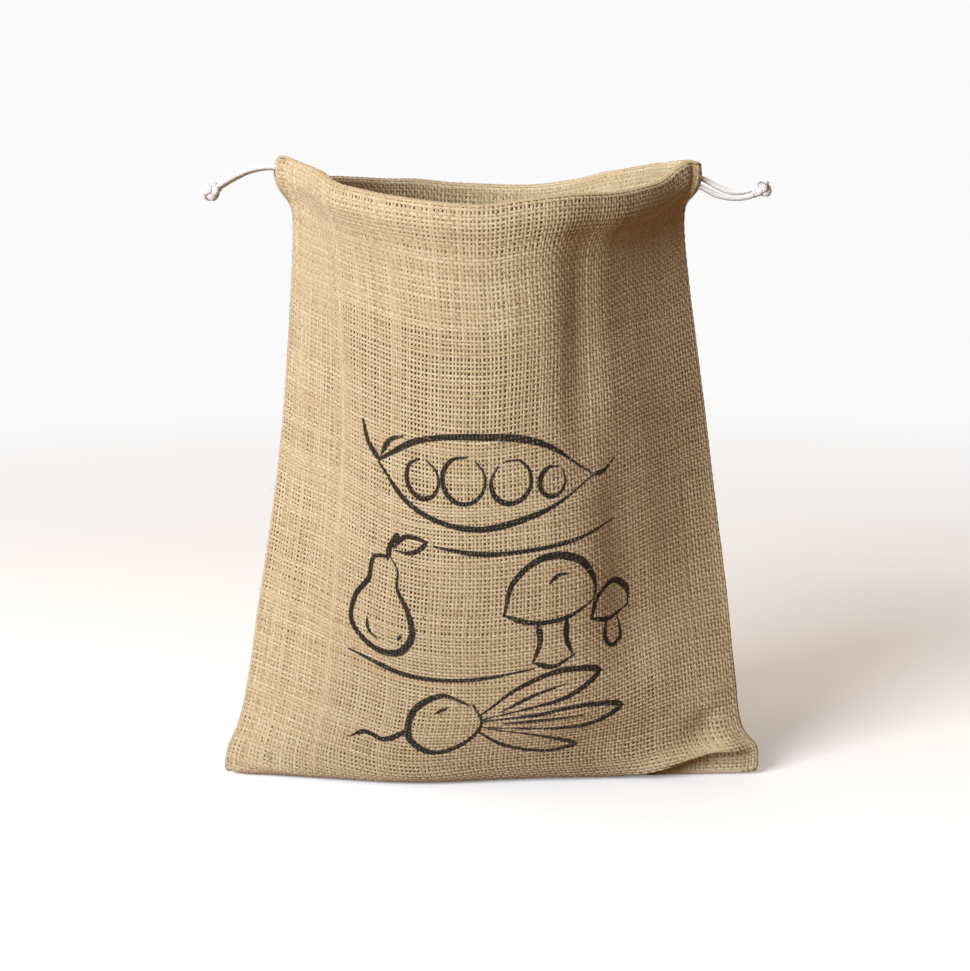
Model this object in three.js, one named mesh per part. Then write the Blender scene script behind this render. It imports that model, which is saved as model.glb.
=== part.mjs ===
// Jute produce bag, standing open on its flattened base, front towards -Y. Millimetres, +Z up.
//
// Two hessian panels are sewn together along the sides and the bottom. The top of each panel is
// turned in and stitched as a casing. Two cotton drawcords run round through both casings, one
// tied off beside the left corner of the mouth and one beside the right.
import * as THREE from 'three';
import { mergeVertices } from 'three/addons/utils/BufferGeometryUtils.js';

// ---- driving dimensions -------------------------------------------------------------------
const panelLength = 350; // cloth from the bottom seam up to the rim
const panelWidth = 300; // cloth from side seam to side seam
const clothThickness = 1.5;
const pieceGap = 0.3; // left between pieces that touch
const casingDepth = 22; // rim to the stitch line
const hemAllowance = 3; // raw edge of the hem, past the stitch line
const tunnelHalfWidth = 2.1; // room inside the casing, to each side of its middle
const cordDiameter = 3;
const upperCordDrop = 6.2; // middle of the upper cord, down from the rim
const lowerCordDrop = 10.2; // middle of the lower cord, down from the rim
const knotLength = 10.5;

// ---- shape of the standing bag ------------------------------------------------------------
// level: share of the cloth's height, from the front crease of the base to the rim.
// left, right: where the side seams are. depth: how far the panel's middle stands forward.
// apart: how far each panel's side edge stands from the seam plane.
const outline = [
  { level: 0.0, left: -149.2, right: 148.9, depth: 22, apart: 0.5 },
  { level: 0.04, left: -147.4, right: 140.0, depth: 27, apart: 0.5 },
  { level: 0.075, left: -142.4, right: 137.3, depth: 32, apart: 0.5 },
  { level: 0.11, left: -138.8, right: 136.1, depth: 37, apart: 0.5 },
  { level: 0.18, left: -134.0, right: 133.5, depth: 46, apart: 0.5 },
  { level: 0.29, left: -128.2, right: 129.3, depth: 57, apart: 0.5 },
  { level: 0.4, left: -122.1, right: 124.3, depth: 66, apart: 0.5 },
  { level: 0.5, left: -117.2, right: 119.9, depth: 72, apart: 0.5 },
  { level: 0.6, left: -113.3, right: 115.6, depth: 77, apart: 0.5 },
  { level: 0.7, left: -110.4, right: 110.9, depth: 81, apart: 0.5 },
  { level: 0.8, left: -108.1, right: 106.4, depth: 83.5, apart: 0.5 },
  { level: 0.88, left: -106.8, right: 103.6, depth: 85, apart: 0.5 },
  { level: 0.925, left: -107.6, right: 104.2, depth: 86, apart: 1.1 },
  { level: 0.95, left: -112.3, right: 109.9, depth: 86, apart: 3.9 },
  { level: 0.975, left: -114.6, right: 112.4, depth: 86, apart: 4.4 },
  { level: 1.0, left: -112.4, right: 111.2, depth: 86, apart: 4.4 },
];

// Direction of the cloth in plan, in degrees forward of the seam plane, at places across the
// panel from its left edge (-1) to its right edge (1).
const bendPlaces = [-1, -0.93, -0.8, -0.62, -0.45, -0.3, -0.15, 0, 0.15, 0.3, 0.45, 0.62, 0.8, 0.93, 1];
const frontBends = [
  { level: 0.0, degrees: [13, 13, 12, 12, 11, 2, -8, -10, -7, -2, 0, -1, -7, -17, -26] },
  { level: 0.08, degrees: [28, 29, 29, 25, 18, 10, 0, -6, -6, -6, -9, -14, -20, -30, -36] },
  { level: 0.18, degrees: [33, 32, 30, 23, 18, 16, 9, 0, -2, -10, -19, -26, -29, -28, -28] },
  { level: 0.29, degrees: [38, 38, 38, 36, 31, 22, 13, 0, -8, -18, -33, -36, -34, -30, -28] },
  { level: 0.4, degrees: [40, 40, 39, 37, 33, 24, 13, 0, -8, -19, -33, -40, -38, -32, -28] },
  { level: 0.6, degrees: [46, 45, 44, 42, 37, 27, 16, 0, -7, -21, -33, -42, -40, -38, -38] },
  { level: 0.79, degrees: [54, 53, 52, 47, 37, 30, 15, 0, -20, -36, -47, -48, -46, -44, -44] },
  { level: 0.92, degrees: [54, 57, 60, 50, 38, 31, 15, 0, -17, -33, -47, -52, -50, -47, -44] },
  { level: 0.95, degrees: [12, 46, 68, 52, 39, 28, 15, 0, -14, -31, -45, -52, -58, -42, -12] },
  { level: 1.0, degrees: [4, 44, 70, 53, 40, 28, 15, 0, -13, -30, -44, -52, -60, -40, -4] },
];

// height that the rim, and the cloth under it in proportion, gains (or loses) by the way it is
// pulled about the mouth, at places across the panel.
const frontRimLift = [
  { across: -1, lift: 2.1 }, { across: -0.93, lift: -0.7 }, { across: -0.86, lift: -0.2 },
  { across: -0.78, lift: 1.7 }, { across: -0.7, lift: 4.0 }, { across: -0.6, lift: 3.0 },
  { across: -0.45, lift: 6.2 }, { across: -0.3, lift: 8.0 }, { across: -0.15, lift: 7.1 },
  { across: 0, lift: 5.3 }, { across: 0.15, lift: 6.2 }, { across: 0.3, lift: 5.1 },
  { across: 0.45, lift: 0.7 }, { across: 0.6, lift: -3.0 }, { across: 0.72, lift: -6.0 },
  { across: 0.82, lift: -5.9 }, { across: 0.9, lift: -1.9 }, { across: 0.95, lift: 0.4 },
  { across: 1, lift: 1.6 },
];
const backRimLift = [
  { across: -1, lift: 0.6 }, { across: -0.93, lift: -2.5 }, { across: -0.86, lift: -3.0 },
  { across: -0.78, lift: -3.6 }, { across: -0.7, lift: -2.4 }, { across: -0.6, lift: -1.6 },
  { across: -0.45, lift: -0.4 }, { across: -0.3, lift: 2.3 }, { across: -0.15, lift: 2.8 },
  { across: 0, lift: 4.2 }, { across: 0.15, lift: 5.5 }, { across: 0.3, lift: 7.3 },
  { across: 0.45, lift: 8.3 }, { across: 0.6, lift: 5.1 }, { across: 0.72, lift: 1.1 },
  { across: 0.82, lift: -2.3 }, { across: 0.9, lift: -1.9 }, { across: 0.95, lift: -0.5 },
  { across: 1, lift: 1.3 },
];

// The bend round the base. foot: how much of the cloth's reach forward lies on the surface
// before it leaves it. rise: how high the bend is, where the base is tucked under at the right.
// round: half length of cloth that the bend takes.
const frontBase = [
  { across: -1, foot: 0.3, rise: 1, round: 4 }, { across: -0.8, foot: 1, rise: 0, round: 8 },
  { across: 0.3, foot: 1, rise: 0, round: 8 }, { across: 0.5, foot: 0.6, rise: 1.5, round: 6 },
  { across: 0.58, foot: 0.4, rise: 3, round: 4 }, { across: 0.66, foot: 0.15, rise: 6.5, round: 3.5 },
  { across: 0.76, foot: 0.15, rise: 10.5, round: 3.5 }, { across: 0.86, foot: 0.15, rise: 14, round: 3.5 },
  { across: 1, foot: 0.3, rise: 16, round: 4 },
];
const backBase = [
  { across: -1, foot: 0.3, rise: 1, round: 4 }, { across: -0.8, foot: 1, rise: 0, round: 8 },
  { across: 0.5, foot: 1, rise: 0, round: 8 }, { across: 0.7, foot: 0.5, rise: 4, round: 6 },
  { across: 0.86, foot: 0.2, rise: 12, round: 4 }, { across: 1, foot: 0.3, rise: 16, round: 4 },
];
const cornerRadius = 5; // of the bag's two bottom corners, in the cloth

// How far the open ends of each casing stand out past the outline's left and right.
const frontFlap = { left: 0.4, right: -3.2 };
const backFlap = { left: 2.2, right: 1 };

// Soft troughs (depth above 0) and ridges (below 0) that run up the cloth. across and lean give
// the line: its place at its foot, and how far it moves over by its head.
const frontCreases = [
  { across: 0.36, lean: 0.02, foot: 190, head: 352, width: 13, depth: 3.4 },
  { across: 0.56, lean: -0.06, foot: 60, head: 235, width: 16, depth: 3.0 },
  { across: -0.66, lean: -0.04, foot: 250, head: 354, width: 10, depth: -2.6 },
  { across: -0.45, lean: -0.1, foot: 20, head: 150, width: 20, depth: 2.2 },
  { across: 0.72, lean: 0.16, foot: -10, head: 46, width: 13, depth: 4.5 },
  { across: -0.8, lean: 0.05, foot: 40, head: 200, width: 14, depth: 2.0 },
];
const backCreases = [
  { across: -0.42, lean: 0.05, foot: 150, head: 352, width: 15, depth: 3.4 },
  { across: 0.1, lean: -0.08, foot: 30, head: 190, width: 22, depth: 2.6 },
  { across: 0.5, lean: 0.1, foot: 120, head: 350, width: 14, depth: 3.0 },
  { across: -0.7, lean: 0.06, foot: 20, head: 150, width: 16, depth: 2.8 },
  { across: -0.12, lean: 0.02, foot: 250, head: 354, width: 10, depth: -2.0 },
];

// ---- small mathematics --------------------------------------------------------------------
const lerp = THREE.MathUtils.lerp;
const clamp = THREE.MathUtils.clamp;
const smooth = (from, to, value) => THREE.MathUtils.smoothstep(value, from, to);

// Cubic through a table's values, with slopes taken from the neighbouring rows.
function alongTable(places, values, place) {
  const last = places.length - 1;
  let row = 0;
  while (row < last - 1 && place > places[row + 1]) row += 1;
  const slope = (k) => {
    const before = Math.max(k - 1, 0);
    const after = Math.min(k + 1, last);
    return (values[after] - values[before]) / (places[after] - places[before]);
  };
  const span = places[row + 1] - places[row];
  const s = clamp((place - places[row]) / span, 0, 1);
  const startWeight = (1 + 2 * s) * (1 - s) * (1 - s);
  const endWeight = s * s * (3 - 2 * s);
  const startSlope = s * (1 - s) * (1 - s) * span * slope(row);
  const endSlope = s * s * (s - 1) * span * slope(row + 1);
  return startWeight * values[row] + endWeight * values[row + 1] + startSlope + endSlope;
}

const column = (table, name) => table.map((row) => row[name]);

// ---- one panel's surface ------------------------------------------------------------------
const levelSteps = 70;
const acrossSteps = 90;

// Plan section at a level: the cloth's x and forward distance at equal steps across it.
function planSection(level, bends) {
  const levels = column(outline, 'level');
  const [left, right, depth, apart] = ['left', 'right', 'depth', 'apart'].map((name) =>
    alongTable(levels, column(outline, name), level));
  const bendLevels = column(bends, 'level');
  const degrees = bendPlaces.map((_, k) =>
    alongTable(bendLevels, bends.map((row) => row.degrees[k]), level));
  const xs = [0];
  const forwards = [0];
  for (let j = 0; j < acrossSteps; j += 1) {
    const across = -1 + (2 * (j + 0.5)) / acrossSteps;
    const heading = THREE.MathUtils.degToRad(alongTable(bendPlaces, degrees, across));
    xs.push(xs[j] + Math.cos(heading));
    forwards.push(forwards[j] + Math.sin(heading));
  }
  const drift = forwards[acrossSteps];
  const level0 = forwards.map((forward, j) => forward - (drift * j) / acrossSteps);
  const reach = Math.max(...level0);
  return xs.map((x, j) => ({
    x: left + ((right - left) * x) / xs[acrossSteps],
    forward: apart + ((depth - apart) * level0[j]) / reach,
  }));
}

// The panel's middle surface as a function of the place across it (-1 to 1) and along the cloth
// (0 at the bottom seam). facing is -1 for the front panel and 1 for the back one.
function makePanelSurface({ facing, bends, rimLift, base, flap, creases }) {
  const sections = [];
  for (let i = 0; i <= levelSteps; i += 1) sections.push(planSection(i / levelSteps, bends));
  const basePlaces = column(base, 'across');
  const baseValue = (name, j) =>
    Math.max(alongTable(basePlaces, column(base, name), (2 * j) / acrossSteps - 1), 0);
  const rounds = sections[0].map((_, j) => baseValue('round', j));
  const feet = sections[0].map(({ forward }, j) => forward * Math.min(baseValue('foot', j), 1));
  const heights = [sections[0].map((_, j) => baseValue('rise', j))];
  const baseRuns = sections[0].map(({ forward }, j) =>
    feet[j] + Math.hypot(forward - feet[j], heights[0][j]));
  for (let i = 1; i <= levelSteps; i += 1) {
    heights.push(sections[i].map((here, j) => {
      const under = sections[i - 1][j];
      const step = (panelLength - baseRuns[j]) / levelSteps;
      const rise = step ** 2 - (here.x - under.x) ** 2 - (here.forward - under.forward) ** 2;
      return heights[i - 1][j] + Math.sqrt(Math.max(rise, (0.2 * step) ** 2));
    }));
  }
  const liftPlaces = column(rimLift, 'across');
  const lifts = column(rimLift, 'lift');

  // The cloth as it would lie with sharp bends at the base.
  function sharpPoint(across, along) {
    const j = clamp(((across + 1) / 2) * acrossSteps, 0, acrossSteps - 1e-6);
    const j0 = Math.floor(j);
    const between = (row, name) => lerp(row[j0][name], row[j0 + 1][name], j - j0);
    const height = (row) => lerp(row[j0], row[j0 + 1], j - j0);
    const baseRun = height(baseRuns);
    const distance = Math.abs(along);
    const foot = height(feet);
    if (distance < baseRun) {
      const share = Math.max(distance - foot, 0) / Math.max(baseRun - foot, 1e-6);
      const reach = lerp(Math.min(distance, foot), between(sections[0], 'forward'), share);
      return {
        x: between(sections[0], 'x'),
        forward: Math.sign(along) * reach,
        z: share * height(heights[0]),
      };
    }
    const length = panelLength - baseRun;
    const i = Math.min(((distance - baseRun) / length) * levelSteps, levelSteps - 1e-6);
    const i0 = Math.floor(i);
    const at = (name) => lerp(between(sections[i0], name), between(sections[i0 + 1], name), i - i0);
    const beyond = Math.max(distance - panelLength, 0);
    return {
      x: at('x'),
      forward: Math.sign(along) * at('forward'),
      z: lerp(height(heights[i0]), height(heights[i0 + 1]), i - i0) + beyond,
    };
  }

  // The same cloth with its bends rounded, by taking the mean over a short length.
  const meanSamples = 10;
  function restPoint(across, along) {
    const mean = new THREE.Vector3();
    const j = clamp(((across + 1) / 2) * acrossSteps, 0, acrossSteps - 1e-6);
    const rounding = lerp(rounds[Math.floor(j)], rounds[Math.floor(j) + 1], j % 1);
    for (let k = 0; k < meanSamples; k += 1) {
      const shift = rounding * (-1 + (2 * (k + 0.5)) / meanSamples);
      const sample = sharpPoint(across, along + shift);
      mean.add(new THREE.Vector3(sample.x, facing * sample.forward, sample.z));
    }
    mean.divideScalar(meanSamples);
    const share = along / panelLength;
    mean.z += clothThickness / 2 + alongTable(liftPlaces, lifts, across) * share * share;
    mean.y += facing * (pieceGap / 2);
    const fromCorner = clamp(1 - along / cornerRadius, 0, 1);
    const cornerInset = cornerRadius * (1 - Math.sqrt(1 - fromCorner ** 2));
    const flapReach = (across < 0 ? flap.left : flap.right) * smooth(316, 334, along);
    mean.x += Math.sign(across) * (flapReach - cornerInset) * smooth(0.9, 1, Math.abs(across));
    return mean;
  }

  function creaseOffset(across, along) {
    let offset = 0;
    for (const crease of creases) {
      const share = clamp((along - crease.foot) / (crease.head - crease.foot), 0, 1);
      const aside = (across - crease.across - crease.lean * share) * (panelWidth / 2);
      const ends = Math.sin(Math.PI * share) ** 0.7;
      offset -= crease.depth * ends * Math.exp(-((aside / crease.width) ** 2));
    }
    const seamFade = 1 - smooth(0.86, 0.97, Math.abs(across));
    return offset * seamFade * smooth(0, 30, along);
  }

  return (across, along) => {
    const d = 0.004;
    const point = restPoint(across, along);
    const sideways = restPoint(across + d, along).sub(restPoint(across - d, along));
    const upwards = restPoint(across, along + 1).sub(restPoint(across, along - 1));
    const outward = sideways.cross(upwards).multiplyScalar(-facing).normalize();
    point.addScaledVector(outward, creaseOffset(across, along));
    return { point, outward };
  };
}

// ---- the cloth of one panel, with its hem -------------------------------------------------
// Rows of the cloth's middle line in a section across the casing: along is up the panel, out is
// towards the outside of the bag. The cloth rises, turns over at the rim and comes down inside.
function clothRows(across) {
  const hemCut = smooth(0.82, 0.89, Math.abs(across));
  const flattened = smooth(0.93, 0.98, Math.abs(across));
  const layerGap = (clothThickness + pieceGap) / 2;
  const half = lerp(tunnelHalfWidth + clothThickness / 2, layerGap, flattened);
  const stitchLine = panelLength - casingDepth;
  const turnCentre = panelLength - half - clothThickness / 2;
  const hemEnd = lerp(stitchLine - hemAllowance, turnCentre - 0.6, hemCut);
  const rows = [];
  for (const along of [0, 5, 10, 14, 18, 23, 29, 40, 60, 90, 122, 154, 186, 218, 250, 282]) {
    rows.push({ along, out: 0 });
  }
  const rise = [
    { along: stitchLine - 16, share: 0, base: 0 },
    { along: stitchLine - 8, share: 0, base: 0.5 },
    { along: stitchLine, share: 0, base: 1 },
    { along: stitchLine + 4.5, share: 0.6, base: 1 },
    { along: stitchLine + 9, share: 1, base: 1 },
    { along: turnCentre - 4, share: 1, base: 1 },
  ];
  for (const { along, share, base } of rise) {
    rows.push({ along, out: lerp(base * layerGap, half, share) });
  }
  const turnSteps = 6;
  for (let k = 0; k <= turnSteps; k += 1) {
    const angle = (Math.PI * k) / turnSteps;
    rows.push({ along: turnCentre + half * Math.sin(angle), out: half * Math.cos(angle) });
  }
  for (const share of [0.3, 0.6, 0.8, 1]) {
    const along = lerp(turnCentre, hemEnd, share);
    const opened = smooth(stitchLine, stitchLine + 9, along);
    rows.push({ along, out: -lerp(layerGap, half, opened) });
  }
  return rows;
}

// Both faces of the cloth at one place across the panel, from the bottom seam to the hem's edge.
function clothFaces(surface, facing, across) {
  const rows = clothRows(across);
  const faces = { outer: [], inner: [] };
  rows.forEach((row, k) => {
    const before = rows[Math.max(k - 1, 0)];
    const after = rows[Math.min(k + 1, rows.length - 1)];
    const direction = new THREE.Vector2(after.along - before.along, after.out - before.out).normalize();
    for (const [name, side] of [['outer', 1], ['inner', -1]]) {
      const shift = (side * clothThickness) / 2;
      const { point, outward } = surface(across, row.along - direction.y * shift);
      point.addScaledVector(outward, row.out + direction.x * shift);
      point.y = facing * Math.max(facing * point.y, pieceGap / 2);
      point.z = Math.max(point.z, 0);
      faces[name].push(point);
    }
  });
  return faces;
}

// Places across the panel of the faceted cloth's columns, on both sides of the middle.
const halfPlaces = [0, 0.09, 0.18, 0.28, 0.38, 0.48, 0.58, 0.67, 0.76, 0.84, 0.9, 0.94, 0.97, 1];
const acrossPlaces = [...halfPlaces.slice(1).reverse().map((place) => -place), ...halfPlaces];

// A closed solid from the two faces: skins outside and inside, and a narrow wall all round.
function panelGeometry(surface, facing) {
  const columns = acrossPlaces.map((across) => clothFaces(surface, facing, across));
  const corners = [];
  const quad = (a, b, c, d) => {
    const order = facing < 0 ? [a, b, c, a, c, d] : [a, c, b, a, d, c];
    order.forEach((corner) => corners.push(corner.x, corner.y, corner.z));
  };
  const lastRow = columns[0].outer.length - 1;
  const lastColumn = columns.length - 1;
  for (let j = 0; j < lastColumn; j += 1) {
    const [here, next] = [columns[j], columns[j + 1]];
    for (let k = 0; k < lastRow; k += 1) {
      quad(here.outer[k], next.outer[k], next.outer[k + 1], here.outer[k + 1]);
      quad(here.inner[k], here.inner[k + 1], next.inner[k + 1], next.inner[k]);
    }
    quad(here.outer[0], here.inner[0], next.inner[0], next.outer[0]);
    quad(here.outer[lastRow], next.outer[lastRow], next.inner[lastRow], here.inner[lastRow]);
  }
  for (let k = 0; k < lastRow; k += 1) {
    const [first, last] = [columns[0], columns[lastColumn]];
    quad(first.outer[k], first.outer[k + 1], first.inner[k + 1], first.inner[k]);
    quad(last.outer[k], last.inner[k], last.inner[k + 1], last.outer[k + 1]);
  }
  const geometry = new THREE.BufferGeometry();
  geometry.setAttribute('position', new THREE.Float32BufferAttribute(corners, 3));
  return mergeVertices(geometry, 1e-4);
}

const frontSurface = makePanelSurface({
  facing: -1, bends: frontBends, rimLift: frontRimLift, base: frontBase, flap: frontFlap,
  creases: frontCreases,
});
// The back panel bends as the front one does, seen from behind.
const backBends = frontBends.map(({ level, degrees }) => ({
  level, degrees: degrees.map((_, k) => -degrees[degrees.length - 1 - k]),
}));
const backSurface = makePanelSurface({
  facing: 1, bends: backBends, rimLift: backRimLift, base: backBase, flap: backFlap,
  creases: backCreases,
});

// ---- the drawcords ------------------------------------------------------------------------
// The middle of a casing's tunnel, at the given drop below the rim, with a point at each of
// the cloth's columns so that the facets of cord and cloth run alike.
function casingRun(surface, drop, from, to) {
  const low = Math.min(from, to);
  const high = Math.max(from, to);
  const between = acrossPlaces.filter((place) => place > low + 0.015 && place < high - 0.015);
  const places = [low, ...between, high];
  if (from > to) places.reverse();
  return places.map((place) => surface(place, panelLength - drop).point);
}

const toPoints = (rows) => rows.map(([x, y, z]) => new THREE.Vector3(x, y, z));

// Each cord's two free ends, listed from the casing to the knot: x, y, z.
const leftEnds = {
  front: toPoints([
    [-102.6, -9.8, 335.2], [-106.2, -5.8, 336.4], [-110.2, -3.0, 338.0], [-114.5, -1.9, 339.1],
    [-119.5, -1.8, 339.6], [-125.5, -1.8, 339.1], [-131.5, -1.8, 337.6], [-137.8, -1.8, 334.8],
    [-143.0, -1.8, 331.9], [-146.8, -1.75, 329.5],
  ]),
  back: toPoints([
    [-101.6, 9.7, 332.1], [-105.2, 5.4, 334.2], [-110.0, 2.8, 337.0], [-114.5, 1.9, 338.6],
    [-119.5, 1.8, 339.0], [-125.5, 1.8, 338.3], [-131.4, 1.8, 336.6], [-137.4, 1.8, 333.8],
    [-142.5, 1.8, 330.9], [-146.2, 1.75, 328.6],
  ]),
};
const rightEnds = {
  front: toPoints([
    [99.2, -9.0, 330.0], [102.5, -4.6, 330.5], [106.9, -2.1, 330.2], [112.2, -1.9, 328.9],
    [116.2, -1.9, 326.9], [120.8, -1.85, 324.6], [126.4, -1.8, 323.2], [132.6, -1.8, 322.8],
    [137.6, -1.8, 323.5], [141.0, -1.75, 324.5],
  ]),
  back: toPoints([
    [100.2, 9.2, 330.2], [103.8, 4.9, 331.6], [108.5, 2.3, 333.6], [113.5, 1.9, 333.0],
    [118.2, 1.85, 330.6], [123.2, 1.8, 328.0], [129.0, 1.8, 326.0], [134.6, 1.8, 325.8],
    [138.2, 1.8, 326.6], [140.6, 1.75, 327.4],
  ]),
};

// A cord's whole route: in at the front, round its far bight, back behind, out to the knot.
function cordRoute(side, drop, ends) {
  const exit = 0.87;
  const bight = 0.88;
  const bightReach = 2.4;
  const frontRun = casingRun(frontSurface, drop, side * exit, -side * bight);
  const backRun = casingRun(backSurface, drop, -side * bight, side * exit);
  const turnIn = frontRun[frontRun.length - 1];
  const turnOut = backRun[0];
  const turn = [];
  const turnSteps = 4;
  for (let k = 1; k < turnSteps; k += 1) {
    const angle = (Math.PI * k) / turnSteps;
    const point = turnIn.clone().lerp(turnOut, (1 - Math.cos(angle)) / 2);
    point.x -= side * bightReach * Math.sin(angle);
    turn.push(point);
  }
  return [...ends.front.slice().reverse(), ...frontRun, ...turn, ...backRun, ...ends.back];
}

// A path that ExtrudeGeometry follows from one listed point to the next.
class CordPath extends THREE.Curve {
  constructor(points) {
    super();
    this.curve = new THREE.CatmullRomCurve3(points, false, 'centripetal');
  }

  getPoint(t, target) {
    return this.curve.getPoint(t, target);
  }

  getUtoTmapping(u) {
    return u;
  }
}

const cordSides = 8;

function cordGeometry(route) {
  const section = new THREE.Shape();
  for (let k = 0; k < cordSides; k += 1) {
    const angle = (2 * Math.PI * k) / cordSides;
    const [x, y] = [Math.cos(angle), Math.sin(angle)].map((value) => (value * cordDiameter) / 2);
    if (k === 0) section.moveTo(x, y);
    else section.lineTo(x, y);
  }
  const geometry = new THREE.ExtrudeGeometry(section, {
    steps: route.length - 1, extrudePath: new CordPath(route), curveSegments: 1,
  });
  geometry.deleteAttribute('normal');
  geometry.deleteAttribute('uv');
  return mergeVertices(geometry, 1e-4);
}

// ---- the knots ----------------------------------------------------------------------------
// Outer form of the two ends tied together, with the short cut tails: a turned shape that
// stands on the line of the cords. along is a share of the knot's length.
const knotProfile = [
  { along: 0, radius: 0 }, { along: 0, radius: 3.3 }, { along: 0.12, radius: 4.6 },
  { along: 0.32, radius: 5.3 }, { along: 0.5, radius: 4.9 }, { along: 0.66, radius: 4.5 },
  { along: 0.78, radius: 3.3 }, { along: 1, radius: 3.0 }, { along: 1, radius: 0 },
];

function knotMesh(name, ends, material) {
  const profile = knotProfile.map(({ along, radius }) => new THREE.Vector2(radius, along * knotLength));
  const geometry = new THREE.LatheGeometry(profile, 14);
  geometry.deleteAttribute('normal');
  geometry.deleteAttribute('uv');
  const last = (strand) => strand[strand.length - 1];
  const direction = last(ends.front).clone().sub(ends.front[ends.front.length - 2]).normalize();
  const middle = last(ends.front).clone().add(last(ends.back)).multiplyScalar(0.5);
  const reach = Math.max(last(ends.front).dot(direction), last(ends.back).dot(direction));
  const mesh = new THREE.Mesh(mergeVertices(geometry, 1e-4), material);
  mesh.name = name;
  mesh.position.copy(middle.addScaledVector(direction, reach - middle.dot(direction) + pieceGap));
  mesh.quaternion.setFromUnitVectors(new THREE.Vector3(0, 1, 0), direction);
  return mesh;
}

// ---- the bag ------------------------------------------------------------------------------
const jute = () => new THREE.MeshStandardMaterial({ color: 0xd2b482, roughness: 0.92, metalness: 0 });
const cotton = () => new THREE.MeshStandardMaterial({ color: 0xe9e6dc, roughness: 0.85, metalness: 0 });

function namedMesh(name, geometry, material) {
  const mesh = new THREE.Mesh(geometry, material);
  mesh.name = name;
  return mesh;
}

const bag = new THREE.Group();
bag.add(namedMesh('front_panel', panelGeometry(frontSurface, -1), jute()));
bag.add(namedMesh('back_panel', panelGeometry(backSurface, 1), jute()));
bag.add(namedMesh('drawcord_left', cordGeometry(cordRoute(-1, upperCordDrop, leftEnds)), cotton()));
bag.add(namedMesh('drawcord_right', cordGeometry(cordRoute(1, lowerCordDrop, rightEnds)), cotton()));
bag.add(knotMesh('knot_left', leftEnds, cotton()));
bag.add(knotMesh('knot_right', rightEnds, cotton()));

export default bag;
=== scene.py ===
"""Jute produce bag, standing open, its mouth held by two cotton drawcords.

Two hessian panels are woven here end by end and pick by pick over the shape of the standing bag.
Lengths are millimetres unless a name ends in _m. Meshes are written in metres, in the frame of
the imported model, with the bag's front towards -Y.
"""
import logging
import math
from dataclasses import dataclass
from enum import Enum
from typing import Any, Callable, Iterable, Sequence

import bpy
import numpy as np
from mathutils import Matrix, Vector


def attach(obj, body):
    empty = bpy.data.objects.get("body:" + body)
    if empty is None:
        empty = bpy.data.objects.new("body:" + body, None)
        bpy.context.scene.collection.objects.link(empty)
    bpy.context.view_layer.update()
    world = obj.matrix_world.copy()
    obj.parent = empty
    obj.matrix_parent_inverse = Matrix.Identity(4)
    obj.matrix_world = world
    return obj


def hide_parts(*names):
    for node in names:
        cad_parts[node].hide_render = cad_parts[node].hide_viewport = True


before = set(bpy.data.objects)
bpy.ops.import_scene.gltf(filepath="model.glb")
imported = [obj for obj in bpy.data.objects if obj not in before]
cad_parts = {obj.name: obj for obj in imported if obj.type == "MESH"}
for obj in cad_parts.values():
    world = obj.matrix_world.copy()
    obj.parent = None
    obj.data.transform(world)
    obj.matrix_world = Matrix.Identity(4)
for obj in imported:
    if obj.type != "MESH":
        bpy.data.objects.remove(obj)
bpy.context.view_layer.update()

LOG = logging.getLogger("produce_bag")
MM = 0.001  # metres in a millimetre
BODY = "root"

# ---- the bag's driving dimensions ----------------------------------------------------------
PANEL_LENGTH = 350.0  # cloth from the bottom seam up to the rim
PANEL_WIDTH = 300.0  # cloth from side seam to side seam
CLOTH_THICKNESS = 1.5
PIECE_GAP = 0.3
CASING_DEPTH = 22.0  # rim to the stitch line
HEM_ALLOWANCE = 3.0  # raw edge of the hem, past the stitch line
TUNNEL_HALF_WIDTH = 2.1
CORD_DIAMETER = 3.0
UPPER_CORD_DROP = 6.2
LOWER_CORD_DROP = 10.2
KNOT_LENGTH = 10.5
CORNER_RADIUS = 5.0

Rows = tuple[tuple[float, ...], ...]

# level (share of the cloth's height), left and right seam, forward reach of the panel's
# middle, and how far its side edges stand from the seam plane
OUTLINE: Rows = (
    (0.0, -149.2, 148.9, 22, 0.5), (0.04, -147.4, 140.0, 27, 0.5),
    (0.075, -142.4, 137.3, 32, 0.5), (0.11, -138.8, 136.1, 37, 0.5),
    (0.18, -134.0, 133.5, 46, 0.5), (0.29, -128.2, 129.3, 57, 0.5),
    (0.4, -122.1, 124.3, 66, 0.5), (0.5, -117.2, 119.9, 72, 0.5),
    (0.6, -113.3, 115.6, 77, 0.5), (0.7, -110.4, 110.9, 81, 0.5),
    (0.8, -108.1, 106.4, 83.5, 0.5), (0.88, -106.8, 103.6, 85, 0.5),
    (0.925, -107.6, 104.2, 86, 1.1), (0.95, -112.3, 109.9, 86, 3.9),
    (0.975, -114.6, 112.4, 86, 4.4), (1.0, -112.4, 111.2, 86, 4.4),
)
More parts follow.
